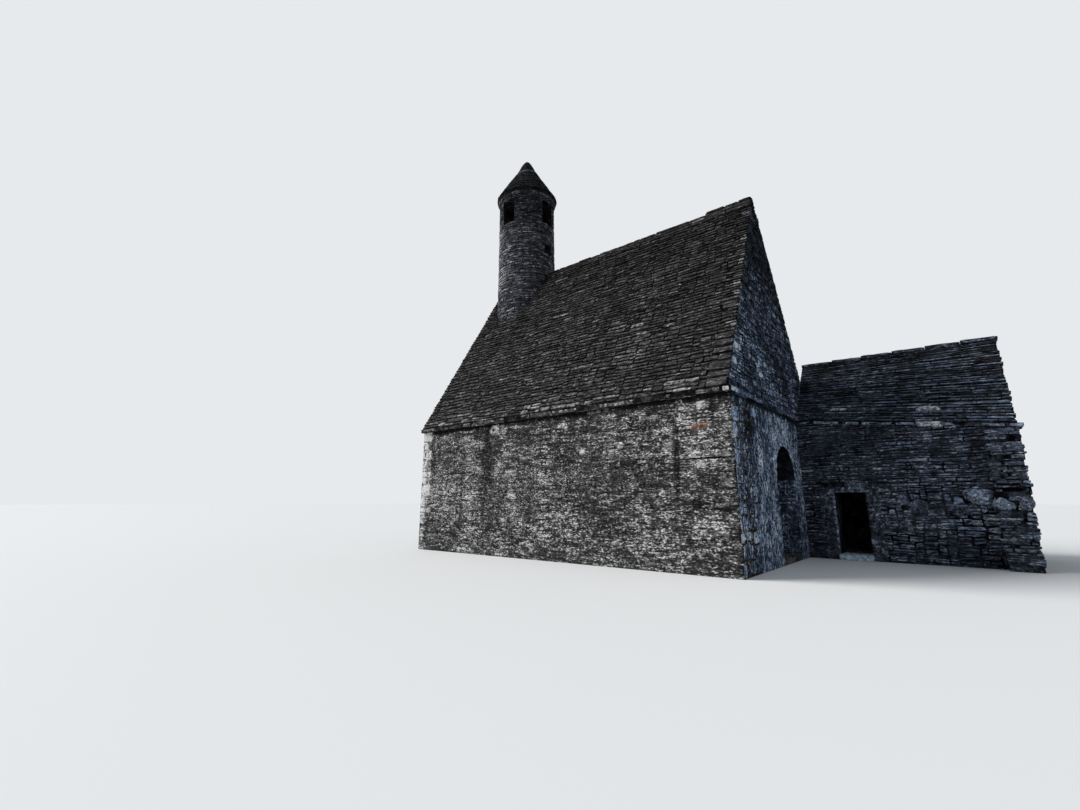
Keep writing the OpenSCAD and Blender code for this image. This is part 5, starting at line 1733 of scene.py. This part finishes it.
def hewn_block(name, lo, hi, finish, cuts=6, rough=0.006, seed=1):
    """A single hewn stone between two corners, its edges worn round and its faces uneven."""
    bpy.ops.object.select_all(action="DESELECT")
    size = [b - a for a, b in zip(lo, hi)]
    bpy.ops.mesh.primitive_cube_add(size=1, location=[(a + b) / 2 for a, b in zip(lo, hi)], scale=size)
    piece = bpy.context.active_object
    piece.name = name
    bpy.ops.object.transform_apply(location=True, rotation=True, scale=True)
    bpy.ops.object.mode_set(mode="EDIT")
    bpy.ops.mesh.select_all(action="SELECT")
    bpy.ops.mesh.subdivide(number_cuts=cuts)
    bpy.ops.transform.vertex_random(offset=rough, normal=0.7, seed=seed)
    bpy.ops.mesh.normals_make_consistent(inside=False)
    bpy.ops.object.mode_set(mode="OBJECT")
    rounding = piece.modifiers.new("rounding", "SUBSURF")
    rounding.levels = rounding.render_levels = 1
    bpy.ops.object.modifier_apply(modifier="rounding")
    settle(piece, finish, ROUNDED)


class CHAPEL_OT_doorways(bpy.types.Operator):
    """Sets the hewn stones of the doorways: jambs, lintels and threshold"""

    bl_idname = "chapel.doorways"
    bl_label = "Set the doorways"

    taper = 0.020
    proud = 0.018
    depth = 0.08
    # How high the lower of the two stones over the doorway is
    lintel_rise = 0.125
    west_rises = (1.1, 1.4)
    east_rises = (0.24, 0.40)

    def execute(self, context):
        front, back, split = SAC_SOUTH - self.proud, SAC_SOUTH + self.depth, DOOR_HEAD + self.lintel_rise
        # The sill stone takes the threshold's painted skylight
        hewn_block("sacristy_door_sill_stone", (DOOR_WEST - 0.012, SILL_OUT - 0.015, 0.0),
                   (DOOR_EAST + 0.012, SAC_SOUTH + 0.35, SILL_TOP + 0.012),
                   "threshold_skylit_stone", seed=4)
        hewn_block("sacristy_door_lintel_stone", (DOOR_JAMB_WEST - 0.02, front, DOOR_HEAD - 0.004),
                   (DOOR_JAMB_EAST + 0.03, back, split), "jamb_stone", seed=5)
        hewn_block("sacristy_door_upper_stone",
                   (DOOR_WEST + 0.25, SAC_SOUTH - self.proud * 1.5, split + 0.006),
                   (DOOR_EAST + 0.05, back, DOOR_LINTEL_TOP + 0.01),
                   "sacristy_block", seed=8)
        hewn_block("west_door_lintel_stone",
                   (-WALL_FOOT_X + 0.002, -LINTEL_HALF - 0.01, LINTEL_BASE - 0.004),
                   (-WALL_FOOT_X + 0.25, LINTEL_HALF + 0.01, LINTEL_TOP + 0.004),
                   "arch_stone", seed=6)
        self.set_jambs("west", DOOR_WEST, DOOR_JAMB_WEST, self.west_rises)
        self.set_jambs("east", DOOR_EAST, DOOR_JAMB_EAST, self.east_rises)
        return {"FINISHED"}

    def set_jambs(self, side, inner, outer, rise):
        """Sets the upright stones on one side of the sacristy's doorway, which narrows upwards."""
        rnd = random.Random(f"{side} jambs {sizes().seed}")
        toward = 1 if side == "west" else -1
        for k, (base, top) in enumerate(cut_row(0.0, DOOR_HEAD, rise, rnd)):
            edge = inner + toward * self.taper * (base + top) / 2 / DOOR_HEAD
            x0, x1 = sorted((edge, outer - toward * 0.06 * rnd.random()))
            hewn_block(f"sacristy_door_{side}_jamb_{k}", (x0, SAC_SOUTH - 0.016, base + 0.004),
                       (x1, SAC_SOUTH + 0.07, top - 0.004), "jamb_stone", cuts=5,
                       rough=0.010, seed=20 + k)


class CHAPEL_OT_stage(bpy.types.Operator):
    """Sets the pale floor, the soft lights and the camera"""

    bl_idname = "chapel.stage"
    bl_label = "Set the stage"

    floor_size = 900
    sky_colour = (0.86, 0.93, 1.0, 1)
    sky_strength = 0.48
    backdrop_colour = (0.80, 0.82, 0.84, 1)
    # The main light: its colour, its strength, how wide it is, and how far south of west and how high it
    # stands, in degrees
    key_colour = (1.0, 0.985, 0.96)
    key_strength = 3.7
    key_width = 35
    key_south_of_west = 30
    key_height = 36
    # The camera: its place, its tilt up and its turn to the west in radians, and the focal length as a share
    # of the photograph's width, both in the photograph's pixels
    camera_place = (8.142, -13.117, 1.380)
    camera_tilt = 0.1905
    camera_turn = 0.6975
    focal_pixels = 504.95
    photo_pixels = 1080
    sensor_width = 36

    def execute(self, context):
        self.set_floor()
        self.set_world(context.scene)
        self.set_key_light(context.scene)
        self.set_camera(context.scene)
        context.scene.view_settings.view_transform = "Standard"
        return {"FINISHED"}

    def set_floor(self):
        """Adds the pale floor."""
        bpy.ops.object.select_all(action="DESELECT")
        bpy.ops.mesh.primitive_plane_add(size=self.floor_size, location=(0, 0, -0.003))
        floor = bpy.context.active_object
        floor.name = "studio_floor"
        material = bpy.data.materials.new("studio_floor")
        material.use_nodes = True
        shader = material.node_tree.nodes["Principled BSDF"]
        shader.inputs["Base Color"].default_value = (*colours().floor, 1)
        shader.inputs["Roughness"].default_value = 0.9
        floor.data.materials.append(material)

    def set_world(self, scene):
        """Adds the soft light from all round, behind which the camera sees a pale backdrop."""
        world = bpy.data.worlds.new("studio")
        scene.world = world
        world.use_nodes = True
        nodes, links = world.node_tree.nodes, world.node_tree.links
        light = nodes["Background"]
        light.inputs["Color"].default_value = self.sky_colour
        light.inputs["Strength"].default_value = self.sky_strength
        backdrop = nodes.new("ShaderNodeBackground")
        backdrop.inputs["Color"].default_value = self.backdrop_colour
        seen = nodes.new("ShaderNodeMixShader")
        links.new(nodes.new("ShaderNodeLightPath").outputs["Is Camera Ray"], seen.inputs["Fac"])
        links.new(light.outputs["Background"], seen.inputs[1])
        links.new(backdrop.outputs["Background"], seen.inputs[2])
        links.new(seen.outputs["Shader"], nodes["World Output"].inputs["Surface"])

    def set_key_light(self, scene):
        """Adds the main light, in the south-west and soft as under thin cloud."""
        lamp = bpy.data.lights.new("key_light", "SUN")
        lamp.color, lamp.energy, lamp.angle = self.key_colour, self.key_strength, math.radians(self.key_width)
        key = bpy.data.objects.new("key_light", lamp)
        scene.collection.objects.link(key)
        turn, up = math.radians(self.key_south_of_west), math.radians(self.key_height)
        toward = Vector((-math.cos(turn) * math.cos(up), -math.sin(turn) * math.cos(up), math.sin(up)))
        key.rotation_euler = toward.to_track_quat("Z", "Y").to_euler()

    def set_camera(self, scene):
        """Adds the camera at the photograph's place."""
        camera = bpy.data.cameras.new("camera")
        camera.sensor_width = self.sensor_width
        camera.lens = self.sensor_width * self.focal_pixels / self.photo_pixels
        camera.clip_end = 1500
        viewer = bpy.data.objects.new("camera", camera)
        scene.collection.objects.link(viewer)
        viewer.location = self.camera_place
        viewer.rotation_euler = (math.pi / 2 + self.camera_tilt, 0, self.camera_turn)
        scene.camera = viewer


class CHAPEL_PT_panel(bpy.types.Panel):
    """The chapel's pieces, sizes and colours"""

    bl_idname = "CHAPEL_PT_panel"
    bl_label = "Stone-roofed chapel"
    bl_space_type = "VIEW_3D"
    bl_region_type = "UI"
    bl_category = "Chapel"

    def draw(self, context):
        column = self.layout.column()
        for operator in OPERATORS:
            column.operator(operator.bl_idname)
        for group in (context.scene.chapel_sizes, context.scene.chapel_colours):
            for name in group.__annotations__:
                column.prop(group, name)


OPERATORS = (
    CHAPEL_OT_finish_solids,
    CHAPEL_OT_nave_walls,
    CHAPEL_OT_chancel_arch,
    CHAPEL_OT_eaves_courses,
    CHAPEL_OT_gables,
    CHAPEL_OT_nave_roof,
    CHAPEL_OT_belfry,
    CHAPEL_OT_belfry_cap,
    CHAPEL_OT_sacristy_walls,
    CHAPEL_OT_sacristy_roof,
    CHAPEL_OT_broken_wall,
    CHAPEL_OT_doorways,
    CHAPEL_OT_stage,
)
CLASSES = (ChapelSizes, ChapelColours, *OPERATORS, CHAPEL_PT_panel)


def register():
    """Registers the classes and hangs the sizes and colours on the scene."""
    for cls in CLASSES:
        bpy.utils.register_class(cls)
    bpy.types.Scene.chapel_sizes = PointerProperty(type=ChapelSizes)
    bpy.types.Scene.chapel_colours = PointerProperty(type=ChapelColours)


def unregister():
    """Takes the sizes and colours off the scene and unregisters the classes."""
    del bpy.types.Scene.chapel_colours
    del bpy.types.Scene.chapel_sizes
    for cls in reversed(CLASSES):
        bpy.utils.unregister_class(cls)


def main():
    """Builds every piece in order."""
    register()
    for operator in OPERATORS:
        family, name = operator.bl_idname.split(".")
        getattr(getattr(bpy.ops, family), name)()


if __name__ == "__main__":
    main()
